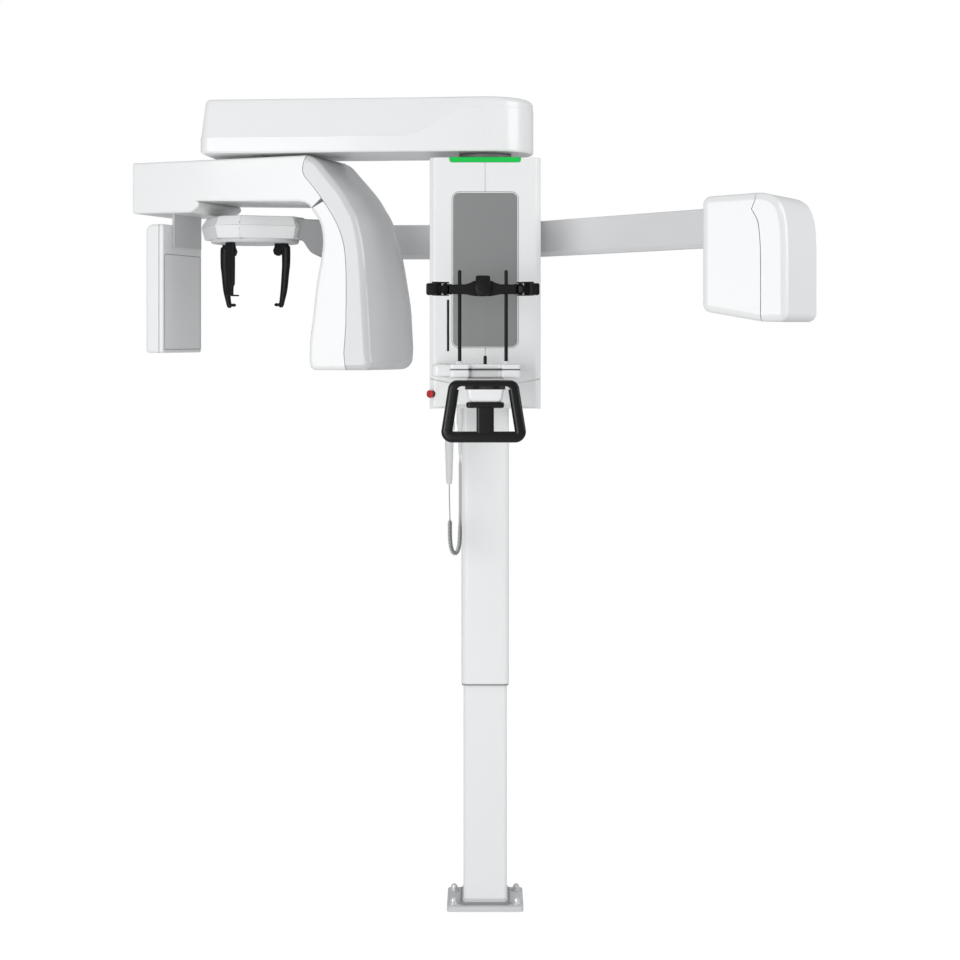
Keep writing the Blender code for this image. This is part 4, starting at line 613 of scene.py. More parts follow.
def build_sensor():
    """The sensor's white shell, a dark groove, the grey front and the line round its window."""
    matrix = rotor_matrix()
    low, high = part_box("sensor_housing")[0][2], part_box("sensor_housing")[1][2]
    face, deep = -0.244, -0.2996
    front, back = ROTOR_FRONT, 0.105
    seam = face - 0.0123
    steps = 8
    outline = oblong(deep, low, seam - 0.0014, high, [0.010, 0, 0, 0.022], steps)
    flat_side = steps + 1  # the first corner's arc has one point more than its steps
    shell = slab(outline, front, back, 0.009, matrix, [flat_side], steps=6)
    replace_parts(white("sensor_shell", shell, 40, "rotor"), "sensor_housing")
    core = oblong(seam - 0.0016, low + 0.002, seam + 0.002, high - 0.002)
    groove = slab(core, front + 0.002, back - 0.002, 0.001, matrix)
    grey("sensor_groove", groove, "seam_dark", body="rotor")
    plan = oblong(front, low, back, high, 0.008)
    rings = []
    for x, inset in (
        (seam, 0.001), (seam + 0.0006, 0.0), (face - 0.004, 0.0),
        (face - 0.0015, 0.0010), (face, 0.0035), (face, 0.0080),
    ):  # fmt: skip
        rings.append([(x, y, z) for y, z in shrunk(plan, inset)])
    piece = grey("sensor_front", loft(rings, matrix), "sensor_grey", 30, "rotor")
    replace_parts(piece, "sensor_face")
    window = oblong(front + 0.010, low + 0.010, back - 0.010, high - 0.085, 0.006, 5)
    half_line = 0.0008
    rings = []
    for out, x in (
        (half_line, face - 0.0004), (half_line, face + 0.0003),
        (-half_line, face + 0.0003), (-half_line, face - 0.0004),
    ):  # fmt: skip
        rings.append([(x, y, z) for y, z in shrunk(window, -out)])
    grey("sensor_window_line", loft(rings, matrix, cyclic=True), "seam_grey", body="rotor")


UPRIGHT = Matrix.Rotation(QUARTER, 4, "X")


def plan_slab(plan, low, high, radius, matrix=None, cuts=(), steps=4):
    """An (x, y) outline between two heights, rounded over at both, except along its cuts."""
    turned_plan = [(x, -y) for x, y in plan]
    whole = UPRIGHT if matrix is None else matrix @ UPRIGHT
    return slab(turned_plan, low, high, radius, whole, cuts, steps=steps)


def turned(profile, x=0.0, y=0.0, z=0.0, steps=32, matrix=None, cyclic=False):
    """A solid of revolution about Z from (radius, height) pairs, or a ring if it is cyclic."""
    angles = angles_round(steps)
    rings = [[(x + r * math.cos(a), y + r * math.sin(a), z + h) for a in angles] for r, h in profile]
    return loft(rings, matrix, cyclic)


def carve(piece, cutters):
    """Cuts shapes out of a piece, one after another, and keeps the result as its mesh."""
    normals = piece.modifiers["normals"]
    normals.show_viewport = False
    for bm in cutters:
        mesh = bpy.data.meshes.new("cutter")
        bm.to_mesh(mesh)
        bm.free()
        tool = bpy.data.objects.new("cutter", mesh)
        bpy.context.collection.objects.link(tool)
        modifier = piece.modifiers.new("cut", "BOOLEAN")
        modifier.operation = "DIFFERENCE"
        modifier.solver = "EXACT"
        modifier.object = tool
        bpy.context.view_layer.update()
        graph = bpy.context.evaluated_depsgraph_get()
        piece.data = bpy.data.meshes.new_from_object(piece.evaluated_get(graph))
        piece.modifiers.remove(modifier)
        bpy.data.objects.remove(tool)
        bpy.data.meshes.remove(mesh)
    normals.show_viewport = True
    piece.data.shade_smooth()
    piece.data.set_sharp_from_angle(angle=math.radians(32))


def cuboid(low, high):
    plan = [(low[0], low[1]), (high[0], low[1]), (high[0], high[1]), (low[0], high[1])]
    return loft([[(x, y, z) for x, y in plan] for z in (low[2], high[2])])


# ---------------------------------------------------------------- carriage

CARRIAGE_CHAMFER = 0.013
CARRIAGE_EDGE = 0.0075
CARRIAGE_WALL = 0.005
LASER_SLOT = (-0.1049, 1.5646, -0.0979, 1.7068)  # left, bottom, right and top
LINE = 0.0018  # width of the grooves between panels


def carriage_section():
    """Plan of the carriage's open-backed cover, as outer and inner points round a C."""
    low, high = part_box("front_cover")
    half, front, rear = high[0], low[1], high[1]
    shoulder = (half, front + CARRIAGE_CHAMFER)
    nose = (half - CARRIAGE_CHAMFER, front)
    right = [(half, rear)]
    right += rounded([(half, rear), shoulder, nose], [0, CARRIAGE_EDGE, 0])[1:-1]
    right += rounded([shoulder, nose, (0, front)], [0, CARRIAGE_EDGE, 0])[1:-1]
    inside = half - CARRIAGE_CHAMFER - 0.006
    across = [(inside * (1 - 2 * k / 24), front) for k in range(25)]
    outer = right + across + [(-x, y) for x, y in right[::-1]]
    wall = CARRIAGE_WALL
    depth = front + wall + 0.008
    return outer, [(-half + wall, rear), (-half + wall, depth), (half - wall, depth), (half - wall, rear)]


def cover_between(name, low_edge, high_edge, low_round, high_round):
    """A C-shaped cover whose lower and upper edges follow curves across the carriage."""
    outer, inner = carriage_section()
    plan = outer + inner
    normals = outward(plan)
    levels = []
    for edge, radius, way in ((low_edge, low_round, 1), (high_edge, high_round, -1)):
        for k in range(5)[::way]:
            a = QUARTER * (1 - k / 4)
            levels.append((edge, way * radius * (1 - math.sin(a)), radius * (1 - math.cos(a))))
    rings = []
    for edge, rise, inset in levels:
        ring = []
        for i, ((x, y), normal) in enumerate(zip(plan, normals)):
            shift = -inset if 0 < i < len(outer) - 1 else 0.0
            ring.append((x + normal.x * shift, y + normal.y * shift, edge(x) + rise))
        rings.append(ring)
    return white(name, loft(rings), 40)


def build_covers():
    """The carriage's upper and lower covers, cut for what sits in them, and its top and floor."""
    low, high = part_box("front_cover")
    half, front, top = high[0], low[1], high[2]
    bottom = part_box("lower_cover")[0][2]
    mirror_low, mirror_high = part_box("mirror")
    light_low, light_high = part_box("status_light")

    def smile(x):
        return low[2] - 0.0015 + 0.80 * x * x

    def foot(x):
        return bottom + 0.014 * (1 - (x / half) ** 2)

    line = LINE / 2
    upper = cover_between("carriage_front_shell", lambda x: smile(x) + line, lambda x: top, 0.0008, 0.004)
    lower = cover_between("carriage_lower_shell", foot, lambda x: smile(x) - line, 0.004, 0.0008)
    rim, gap, ahead = 0.0040, 0.0006, front - 0.01
    left, right = mirror_low[0] - rim, mirror_high[0] + rim
    pocket = oblong(left, mirror_low[2] - rim, right, mirror_high[2] + rim, 0.0200, 10)
    left, right = light_low[0] - gap, light_high[0] + gap
    lamp = oblong(left, light_low[2] - gap, right, top + 0.01, [0.008, 0.008, 0.0, 0.0], 8)
    cutters = [
        slab(pocket, ahead, front + 0.0034, 0.0),
        slab(oblong(*LASER_SLOT, 0.0034), ahead, front + 0.0026, 0.0),
        slab(lamp, ahead, front + 0.0120, 0.0),
        cuboid((-line, ahead, mirror_high[2] - 0.002), (line, front + 0.0030, light_low[2] + 0.002)),
        cuboid((-line, ahead, low[2] + 0.080), (line, front + 0.0030, mirror_low[2] + 0.002)),
    ]
    carve(upper, cutters)
    bevelled(upper, 0.0006, 2, 40)
    plan = carriage_section()[0]
    cap = white("carriage_top", plan_slab(shrunk(plan, 0.004), top - 0.004, top - 0.0003, 0.0))
    shaft = turned([(0.033, -0.01), (0.033, 0.01)], 0.0, -0.07, top)
    carve(cap, [shaft, cuboid((-0.1, -0.25, top - 0.03), (0.1, front + 0.012, top + 0.01))])
    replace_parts(upper, "front_cover")
    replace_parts(lower, "lower_cover")
    floor = plan_slab(shrunk(plan, 0.003), bottom + 0.015, bottom + 0.017, 0.0)
    sleeve_low, sleeve_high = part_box("column_sleeve")
    hole_low = (sleeve_low[0] - 0.004, sleeve_low[1] - 0.004, bottom - 0.01)
    hole_high = (sleeve_high[0] + 0.004, 0.05, bottom + 0.03)
    carve(white("carriage_floor", floor), [cuboid(hole_low, hole_high)])


def build_mirror():
    """The mirror with its white rim and the groove round it, the laser's window and the lamp."""
    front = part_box("front_cover")[0][1]
    low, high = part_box("mirror")
    glass = oblong(low[0], low[2], high[0], high[2], 0.016, 10)
    sheet = slab(glass, front + 0.0003, front + 0.0031, 0.0008)
    piece = new_piece("mirror_glass", sheet, "mirror", "carriage", angle=60)
    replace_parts(piece, "mirror")
    white("mirror_rim", bead(glass, 0.0002, 0.0024, front - 0.0005, front + 0.0025))
    grey("mirror_groove", bead(glass, 0.0026, 0.0039, front + 0.0005, front + 0.0032), "seam_grey")
    gap = 0.0007
    left, bottom, right, top = LASER_SLOT
    plan = oblong(left + gap, bottom + gap, right - gap, top - gap)
    window = slab(plan, front + 0.0012, front + 0.0025, 0.0)
    new_piece("laser_window", window, "dark_plastic", "carriage", look="window_dark")
    low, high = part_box("status_light")
    plan = oblong(low[0], low[2], high[0], high[2] - 0.004, [0.0075, 0.0075, 0.001, 0.001], 8)
    strip = slab(plan, low[1] - 0.0002, high[1] + 0.004, 0.0012)
    piece = new_piece("status_strip", strip, "green_lens", "carriage", angle=60)
    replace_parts(piece, "status_light")


# ---------------------------------------------------------------- chin shelf, handle and temple support

TEMPLE_LOW, TEMPLE_HIGH = 1.7158, 1.7433  # the temple bar's lower and upper faces at its hinges
FORK_RADIUS = 0.0088


def build_shelf():
    """The chin shelf in two layers, the control panel on its left, rod collars and keys."""
    low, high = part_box("chin_shelf")
    top = high[2] - 0.008  # the rods' collars stand above the shelf
    back, front = high[1], low[1]
    half, notch, deep = 0.0925, 0.0425, 0.018
    split = top - 0.0125
    corners = [(notch - 0.003, front + deep), (notch, front), (half, front), (half, back)]
    corners = [(-x, y) for x, y in corners[::-1]] + corners
    plan = rounded(corners, [0, 0.010, 0.006, 0.006, 0.006, 0.006, 0.010, 0])
    rear_edge = [len(plan) - 1]
    shelf = white("shelf_top", plan_slab(plan, split + 0.0004, top, 0.0026, None, rear_edge), 40)
    white("shelf_tray", plan_slab(plan, low[2], split - 0.0004, 0.0060, None, rear_edge), 40)
    filler = [(x * 0.99, y + 0.001 * (1 if y < -0.3 else -1)) for x, y in plan]
    groove = plan_slab(filler, split - 0.002, split + 0.002, 0.0)
    new_piece("shelf_groove", groove, "gloss_white", "carriage", look="seam_dark")
    panel = [(low[0], back), (low[0], -0.350), (-half + 0.002, -0.350), (-half + 0.002, back)]
    panel = rounded(panel, [0, 0.018, 0.002, 0])
    white("control_panel", plan_slab(panel, low[2] + 0.001, top - 0.0005, 0.008, None, [len(panel) - 1]), 40)
    for k, place in enumerate(("left_rod", "right_rod")):
        rod_low, rod_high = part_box(place)
        x, y = (rod_low[0] + rod_high[0]) / 2, (rod_low[1] + rod_high[1]) / 2
        collar = [(0.0105, -0.001), (0.0105, 0.002), (0.0098, 0.003)]
        collar += [(0.0082, 0.0065), (0.0074, 0.0078), (0.0052, 0.008)]
        white(f"rod_collar_{k + 1}", turned(collar, x, y, top))
    key = [(0.0080, 0.0), (0.0080, 0.0006), (0.0074, 0.0011), (0.0002, 0.0012)]
    for k in range(3):
        grey(f"panel_key_{k + 1}", turned(key, -0.118, -0.325 + 0.032 * k, top - 0.0006))
    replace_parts(shelf, "chin_shelf")


def handle_path(low, high, x0, inset):
    """The middle line of the handle's bars: a trapezium, widest at the bottom."""
    top, bottom = high[2] - inset, low[2] + inset
    half_top = 0.083 - inset * 0.45
    half_bottom = (high[0] - low[0]) / 2 - inset * 0.95
    corners = [(x0 - half_bottom, bottom), (x0 + half_bottom, bottom)]
    corners += [(x0 + half_top, top), (x0 - half_top, top)]
    path = rounded(corners, [0.014, 0.014, 0.010, 0.010], 10)
    crown = [p for p in path if p[1] > top - 0.0001]
    left_end, right_end = min(p[0] for p in crown), max(p[0] for p in crown)
    across = [(right_end + (left_end - right_end) * k / 24, top) for k in range(1, 24)]
    turn = max(i for i, p in enumerate(path) if p[0] > x0 and p[1] > top - inset)
    return path[: turn + 1] + across + path[turn + 1 :]


def build_handle():
    """The handle, whose top bar is slimmer than its grips, its post, and the bracket above it."""
    low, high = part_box("handle_frame")
    block_low, block_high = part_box("shelf_block")
    x0, y0 = -0.004, low[1] + 0.014
    bar, depth = 0.029, 0.024
    top = high[2]
    path = handle_path(low, high, x0, bar / 2)
    normals = outward(path)

    def thin(u, x, z):
        """The top bar is slimmer on its inner side than the grips."""
        share = max(0.0, min(1.0, (z - (top - bar)) / (0.4 * bar)))
        share *= max(0.0, min(1.0, (0.077 - abs(x - x0)) / 0.018))
        return u * (1 - 0.9 * eased(share)) if u < 0 else u

    rings = []
    for u, v in oblong(-bar / 2, -depth / 2, bar / 2, depth / 2, 0.0095):
        ring = []
        for (x, z), n in zip(path, normals):
            out = thin(u, x, z)
            ring.append((x + n.x * out, y0 + v, z + n.y * out))
        rings.append(ring)
    grip = black("handle_grip", loft(rings, cyclic=True), 60, look="black_gloss")
    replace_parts(grip, "handle_frame")
    post = oblong(-0.0227, y0 - 0.010, 0.0227, y0 + 0.031, 0.007)
    post = plan_slab(post, low[2] + bar * 0.6, block_low[2] - 0.014, 0.001)
    black("handle_post", post, look="black_gloss")
    collar = oblong(-0.049, y0 - 0.013, 0.049, y0 + 0.034, 0.010)
    collar = plan_slab(collar, block_low[2] - 0.0155, block_low[2] - 0.0003, 0.005)
    black("handle_collar", collar, look="black_gloss")
    front, rear = block_low[1], block_high[1]
    rings = []
    for up, half, back in (
        (0.0, 0.037, 0.006), (0.0015, 0.0405, 0.003), (0.005, 0.0430, 0.001),
        (0.010, 0.0445, 0.0), (0.0325, 0.0485, 0.0),
    ):  # fmt: skip
        plan = oblong(-half, front + back, half, rear, 0.009)
        rings.append([(x, y, block_low[2] + up) for x, y in plan])
    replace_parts(white("shelf_bracket", loft(rings), 50), "shelf_block")
    under_bar = block_low[2] + 0.033
    neck = oblong(-0.0485, y0 + 0.014, 0.0485, rear, 0.006, 5)
    white("shelf_bracket_top", plan_slab(neck, under_bar - 0.002, block_high[2], 0.001))
    strip = cuboid((-0.052, y0 - 0.006, under_bar - 0.0005), (0.052, y0 + 0.020, top - 0.006))
    black("handle_clamp", strip, look="dark_plastic")
    for k, x in enumerate((-0.0235, 0.0275)):
        clip_low = (x - 0.0075, y0 - 0.0085, under_bar + 0.002)
        clip = cuboid(clip_low, (x + 0.0075, y0 - 0.0055, under_bar + 0.0095))
        bevelled(black(f"handle_clip_{k + 1}", clip), 0.0012, 2)


def build_temple_bar(x0, y0, hinge):
    """The bar with its forks, pins and tab."""
    low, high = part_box("temple_bar")
    z_low, z_high = TEMPLE_LOW, TEMPLE_HIGH
    end = hinge - FORK_RADIUS
    right = [(end, z_low + 0.001), (end, z_high - 0.001), (0.046, z_high - 0.0005)]
    right += [(0.034, z_high + 0.003), (0.024, z_high + 0.0085)]
    under = [(-0.046, z_low + 0.0005), (-0.034, z_low - 0.002), (-0.020, z_low - 0.0045)]
    outline = right + [(-x, z) for x, z in right[::-1]] + under + [(-x, z) for x, z in under[::-1]]
    outline = [(x0 + x, z) for x, z in outline]
    bar = black("temple_beam", slab(outline, low[1], high[1], 0.004), 40, "temple_support")
    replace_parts(bar, "temple_bar")
    plate = 0.0038
    for k, side in enumerate((-1, 1)):
        tip = x0 + side * hinge
        for j, z in enumerate((z_low, z_high - plate)):
            plan = [(tip - side * 0.016, y0 - 0.0085)]
            for a in [math.radians(-80 + 16 * i) for i in range(11)]:
                plan.append((tip + side * FORK_RADIUS * math.cos(a), y0 + FORK_RADIUS * math.sin(a)))
            plan.append((tip - side * 0.016, y0 + 0.0085))
            fork = plan_slab(plan, z, z + plate, 0.0008)
            black(f"temple_fork_{k + 1}_{j + 1}", fork, body="temple_support")
        pin = [(0.0046, z_low - 0.0010), (0.0046, z_low), (0.0030, z_low)]
        pin += [(0.0030, z_high), (0.0046, z_high), (0.0044, z_high + 0.0012)]
        black(f"temple_pin_{k + 1}", turned(pin, tip, y0), body="temple_support")
    tab = [(-0.0205, z_high - 0.004), (0.0205, z_high - 0.004)]
    tab += [(0.0185, z_high + 0.0225), (-0.0185, z_high + 0.0225)]
    tab = rounded([(x0 + x, z) for x, z in tab], [0.001, 0.001, 0.005, 0.005])
    black("temple_tab", slab(tab, low[1] + 0.001, high[1] - 0.001, 0.003), 40, "temple_support")


def build_temple_dial():
    """The fluted knob in the middle of the temple support."""
    low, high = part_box("temple_knob")
    front, back = low[1], high[1]
    radius = (high[0] - low[0]) / 2
    x, z = (low[0] + high[0]) / 2, (low[2] + high[2]) / 2
    rings = []
    for share, y in (
        (0.30, front), (0.80, front + 0.0004), (0.90, front + 0.0016),
        (0.97, front + 0.004), (0.98, back - 0.002), (0.93, back),
    ):  # fmt: skip
        ring = []
        for a in angles_round(144):
            flute = 1 - (0.028 if share > 0.85 else 0.0) * max(0.0, math.cos(12 * a)) ** 2
            spoke = radius * share * flute
            ring.append((x + spoke * math.cos(a), y, z + spoke * math.sin(a)))
        rings.append(ring)
    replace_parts(black("temple_dial", loft(rings), 50, "temple_knob"), "temple_knob")


def build_temple_arm(side, name, tip, y0):
    """A hooked arm that turns in its fork, thick at the elbow and with a pad at its end."""
    z_low, z_high = TEMPLE_LOW, TEMPLE_HIGH
    pad_low, pad_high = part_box(f"{name}_temple_arm")
    reach = max(abs(pad_low[0] - tip), abs(pad_high[0] - tip))
    body = f"{name}_temple_arm"

    def shaped(plan, low, high, radius, steps=4):
        points = [(tip + side * x, y0 + y) for x, y in plan]
        return plan_slab(points, low, high, radius, steps=steps)

    def arc(radius, first, step, count):
        turns = [math.radians(first + step * i) for i in range(count)]
        return [(radius * math.cos(a), radius * math.sin(a)) for a in turns]

    link = [(0.0075, 0.004), (0.020, -0.006), (reach - 0.012, -0.020), (reach - 0.001, -0.034)]
    link += [(reach, -0.045), (reach, -0.070), (reach - 0.010, -0.070), (reach - 0.012, -0.045)]
    link += [(reach - 0.020, -0.034), (0.010, -0.014), (0.003, -0.009)] + arc(0.0082, 250, -25, 6)
    arm = black(f"{name}_temple_link", shaped(link, z_low + 0.0041, z_high - 0.0041, 0.0022, 3), 45, body)
    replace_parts(arm, body)
    under, over = z_low - 0.0034, z_high + 0.0055
    elbow = [(0.0098, -0.001), (reach - 0.016, -0.014), (reach - 0.013, -0.030)]
    elbow += [(reach - 0.024, -0.030), (0.0098, -0.012)]
    black(f"{name}_temple_elbow", shaped(elbow, under, over, 0.0012), 45, body)
    cap = arc(0.0095, 60, 18, 11) + [(0.008, -0.016), (reach - 0.024, -0.030)]
    cap += [(reach - 0.014, -0.029), (reach - 0.017, -0.013)]
    for word, low, high in (("upper", z_high + 0.0014, over), ("lower", under, z_low - 0.0013)):
        black(f"{name}_temple_{word}_cap", shaped(cap, low, high, 0.0009), 45, body)
    near, far = sorted((tip - side * 0.014, tip - side * 0.003))
    web = cuboid((near, y0 + 0.0086, z_low + 0.0005), (far, y0 + 0.0106, z_high - 0.0005))
    black(f"{name}_temple_web", web, body="temple_support")
    near, far = sorted((tip + side * (reach - 0.0255), tip + side * (reach + 0.0005)))
    pad = rounded([(near, y0 - 0.081), (far, y0 - 0.081), (far, y0 - 0.040), (near, y0 - 0.052)], 0.006)
    black(f"{name}_temple_pad", plan_slab(pad, z_low - 0.003, z_high + 0.0005, 0.005), 45, body)


def build_temple():
    """The temple support: its bar, its dial and two hooked arms."""
    low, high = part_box("temple_bar")
    x0, y0 = (low[0] + high[0]) / 2, (low[1] + high[1]) / 2
    hinge = axis_of("right_temple_turn").x - x0
    build_temple_bar(x0, y0, hinge)
    build_temple_dial()
    for side, name in ((-1, "left"), (1, "right")):
        build_temple_arm(side, name, x0 + side * hinge, y0)


# ---------------------------------------------------------------- head holder and its arms

HOLDER_YAW = math.radians(22)
EAR_YAW = math.radians(-28.5)


def build_head_holder():
    """An eight-sided holder in two shells, on a neck at the arm's left end."""
    centre = axis_of("ear_holder_turn")
    matrix = placed(centre.x, centre.y, HOLDER_YAW)
    neck_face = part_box("holder_lower_shell")[1][0]
    low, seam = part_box("holder_lower_shell")[0][2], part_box("holder_upper_shell")[0][2]
    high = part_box("holder_upper_shell")[1][2]
    half, corner = 0.137, 0.056
    side = half - corner
    octagon = [(-side, -half), (side, -half), (half, -side), (half, side)]
    octagon += [(-x, -y) for x, y in octagon]
    plan = rounded(octagon, 0.004, 4)

    def level(inset, z):
        points = []
        for x, y in shrunk(plan, inset):
            point = matrix @ Vector((x, y, z))
            points.append((min(point.x, neck_face + 0.012), point.y, point.z))
        return points

    lower = [(0.020, low), (0.0105, low + 0.0005), (0.0085, low + 0.0022), (0.0012, seam - 0.0080)]
    lower += [(0.0, seam - 0.0055), (0.0, seam - 0.0012), (0.0010, seam - 0.0004)]
    upper = [(0.0012, seam), (0.0004, seam + 0.0006), (0.0010, seam + 0.004)]
    upper += [(0.0125, high - 0.004), (0.0155, high - 0.0012), (0.020, high)]
    for name, levels, node in (
        ("holder_tray", lower, "holder_lower_shell"),
        ("holder_lid", upper, "holder_upper_shell"),
    ):
        piece = white(name, loft([level(inset, z) for inset, z in levels]), 24)
        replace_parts(piece, node)

    neck_low, neck_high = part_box("ceph_arm_left")
    left, bottom, top = neck_low[0], neck_low[2], neck_high[2]
    right = -0.455
    curve = [(left - 0.020, low + 0.001), (left - 0.006, low - 0.006), (left + 0.006, low - 0.024)]
    curve += [(left + 0.018, bottom + 0.008), (left + 0.034, bottom + 0.001), (right - 0.004, bottom)]
    outline = smooth_2d(curve, 5) + [(right, bottom + 0.004), (right, top), (left - 0.020, high - 0.006)]
    # the neck's dark grey is painted shade from the tube housing's shadow
    grey("arm_neck", slab(outline, 0.0, 0.262, 0.004, None, [len(outline) - 1]), "painted_shade_grey", 45)


def limb(stations, matrix):
    """A limb through (x, y, z, half width, half depth) stations, its section a soft rectangle."""
    per_span = 5
    softness = 2 / 2.6  # 1 gives an ellipse and 0 a rectangle
    route = smooth_path([Vector(s[:3]) for s in stations], per_span)
    sizes = smooth_path([Vector((s[3], s[4], 0)) for s in stations], per_span)
    rings = []
    for centre, size in zip(route, sizes):
        ring = []
        for a in angles_round(20):
            c, s = math.cos(a), math.sin(a)
            u = math.copysign(abs(c) ** softness, c) * size.x
            v = math.copysign(abs(s) ** softness, s) * size.y
            ring.append((centre.x + u, centre.y + v, centre.z))
        rings.append(ring)
    return loft(rings, matrix)


def build_ear_set():
    """The ring under the head holder and its two arms, each with a shoe, a knob and an ear plug."""
    centre = axis_of("ear_holder_turn")
    matrix = placed(centre.x, centre.y, EAR_YAW)
    plate_low, plate_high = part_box("ear_plate")
    radius = (plate_high[0] - plate_low[0]) / 2
    low, high = plate_low[2], plate_high[2]
    profile = [(radius - 0.010, low), (radius - 0.004, low + 0.0006), (radius - 0.001, low + 0.003)]
    profile += [(radius, low + 0.006), (radius, high - 0.001), (radius - 0.001, high)]
    ring = turned(profile, centre.x, centre.y, steps=96)
    piece = new_piece("ear_ring", ring, "gloss_white", "ear_holder", angle=40, look="satin_white")
    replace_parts(piece, "ear_plate")
    top = low - 0.0006
    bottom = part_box("right_ear_arm")[0][2]
    reach = 0.107
    stations = [
        (reach - 0.0165, bottom + 0.0004, 0.0036, 0.0040),
        (reach - 0.0155, bottom + 0.006, 0.0064, 0.0068),
        (reach - 0.012, bottom + 0.022, 0.0074, 0.0078),
        (reach - 0.006, bottom + 0.052, 0.0094, 0.0090),
        (reach - 0.001, bottom + 0.102, 0.0104, 0.0100),
        (reach + 0.001, top - 0.060, 0.0112, 0.0105),
        (reach + 0.001, top - 0.020, 0.0120, 0.0105),
        (reach, top - 0.008, 0.0112, 0.0095),
        (reach - 0.003, top - 0.004, 0.0080, 0.0070),
    ]
    knob = [(0.004, 0.0), (0.0125, 0.0004), (0.0150, 0.0025)]
    knob += [(0.0150, 0.0135), (0.0128, 0.0158), (0.004, 0.0162)]
    plug = [(0.0062, -0.006), (0.0060, 0.002), (0.0046, 0.006), (0.0040, 0.011)]
    plug += [(0.0052, 0.0130), (0.0044, 0.0165), (0.0022, 0.0200), (0.0006, 0.0210)]
    for side, name in ((-1, "left"), (1, "right")):
        body = f"{name}_ear_arm"
        rod = limb([(side * x, 0, z, wide, deep) for x, z, wide, deep in stations], matrix)
        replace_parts(black(f"{name}_ear_rod", rod, 60, body), body)
        near, far = sorted((side * (reach - 0.034), side * (reach + 0.004)))
        plan = oblong(near, -0.0095, far, 0.0095, 0.003, 4)
        black(f"{name}_ear_shoe", plan_slab(plan, top - 0.013, top, 0.0015, matrix), body=body)
        plan = oblong(near + 0.002, -0.0085, far - 0.004, 0.0085, 0.002, 4)
        black(f"{name}_ear_step", plan_slab(plan, top - 0.020, top - 0.012, 0.001, matrix), body=body)
        place = Matrix.Translation((side * (reach - 0.026), 0.0085, top - 0.020))
        lay = place @ Matrix.Rotation(QUARTER, 4, "X")
        black(f"{name}_ear_knob", turned(knob, steps=8, matrix=matrix @ lay), 20, body)
        place = Matrix.Translation((side * (reach - 0.0185), 0, bottom + 0.0085))
        lay = place @ Matrix.Rotation(-side * QUARTER, 4, "Y")
        black(f"{name}_ear_plug", turned(plug, steps=24, matrix=matrix @ lay), 50, body)


def build_nasion():
    """The nasion support: a blade that hangs from a shoe and ends in a small rest."""
    centre = axis_of("ear_holder_turn")
    matrix = placed(centre.x, centre.y, EAR_YAW)
    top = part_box("ear_plate")[0][2] - 0.0006
    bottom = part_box("nasion_support")[0][2]
    reach = 0.120
    front, back = -reach - 0.0038, -reach + 0.0058
    outline = [
        (-0.0140, bottom + 0.0025), (0.0085, bottom + 0.0025), (0.0092, bottom + 0.026),
        (0.0135, bottom + 0.034), (0.0142, bottom + 0.080), (0.0142, top),
        (-0.0145, top), (-0.0145, bottom + 0.080),
    ]  # fmt: skip
    blade = black("nasion_blade", slab(outline, front, back, 0.0022, matrix, [5]), 45, "nasion_support")
    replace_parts(blade, "nasion_support")
    plan = oblong(-0.0078, -reach, 0.0078, -reach + 0.0355, 0.005)
    tip = plan_slab(plan, bottom + 0.0003, bottom + 0.0045, 0.0014, matrix)
    black("nasion_rest", tip, body="nasion_support")
    shoe = plan_slab(oblong(-0.0145, front, 0.0145, back, 0.002, 4), top - 0.010, top, 0.0012, matrix)
    black("nasion_shoe", shoe, body="nasion_support")


# ---------------------------------------------------------------- cephalometric arm and X-ray head

HEAD_PLACE = (0.684, -0.657)
HEAD_REACH = 0.1102  # from the X-ray head's middle to the face that the arm meets


def build_arm():
    """Two straight bars with a bevelled lower edge, mitred where they meet behind the carriage."""
    low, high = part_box("ceph_arm_left")[0][2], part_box("ceph_arm_left")[1][2]
    front, thick = 0.243, 0.040
    bend = Vector((0.0094, front))
    angle = math.radians(-51.6)
    along = Vector((math.cos(angle), math.sin(angle)))
    behind = Vector((-along.y, along.x))
    mitre = (Vector((0, 1)) + behind) / (1 + behind.y)
    face_normal = Vector((-math.cos(EAR_YAW), -math.sin(EAR_YAW)))
    face_point = Vector(HEAD_PLACE) + face_normal * HEAD_REACH
    section = [(0.0, low + 0.011), (0.0, high), (thick, high), (thick, low), (0.0105, low)]
    section = rounded(section, [0.0015, 0.005, 0.005, 0.003, 0.0015], 5)

    def ring_at(spot_of):
        return [(*spot_of(v), z) for v, z in section]

    def at_head(v):
        start = bend + behind * v
        return start + along * ((face_point - start).dot(face_normal) / along.dot(face_normal))

    left = [ring_at(lambda v: (-0.480, front + v)), ring_at(lambda v: bend + mitre * v)]
    right = [ring_at(lambda v: bend + mitre * v + along * 0.0006), ring_at(at_head)]
    for name, rings, node in (("left", left, "ceph_arm_left"), ("right", right, "ceph_arm_right")):
        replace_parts(grey(f"arm_{name}_bar", loft(rings), "arm_grey", 30), node)
    bracket_low = (-0.060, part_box("column_sleeve")[1][1] + 0.0005, low + 0.012)
    grey("arm_bracket", cuboid(bracket_low, (0.060, front + 0.006, high - 0.012)), "arm_grey")


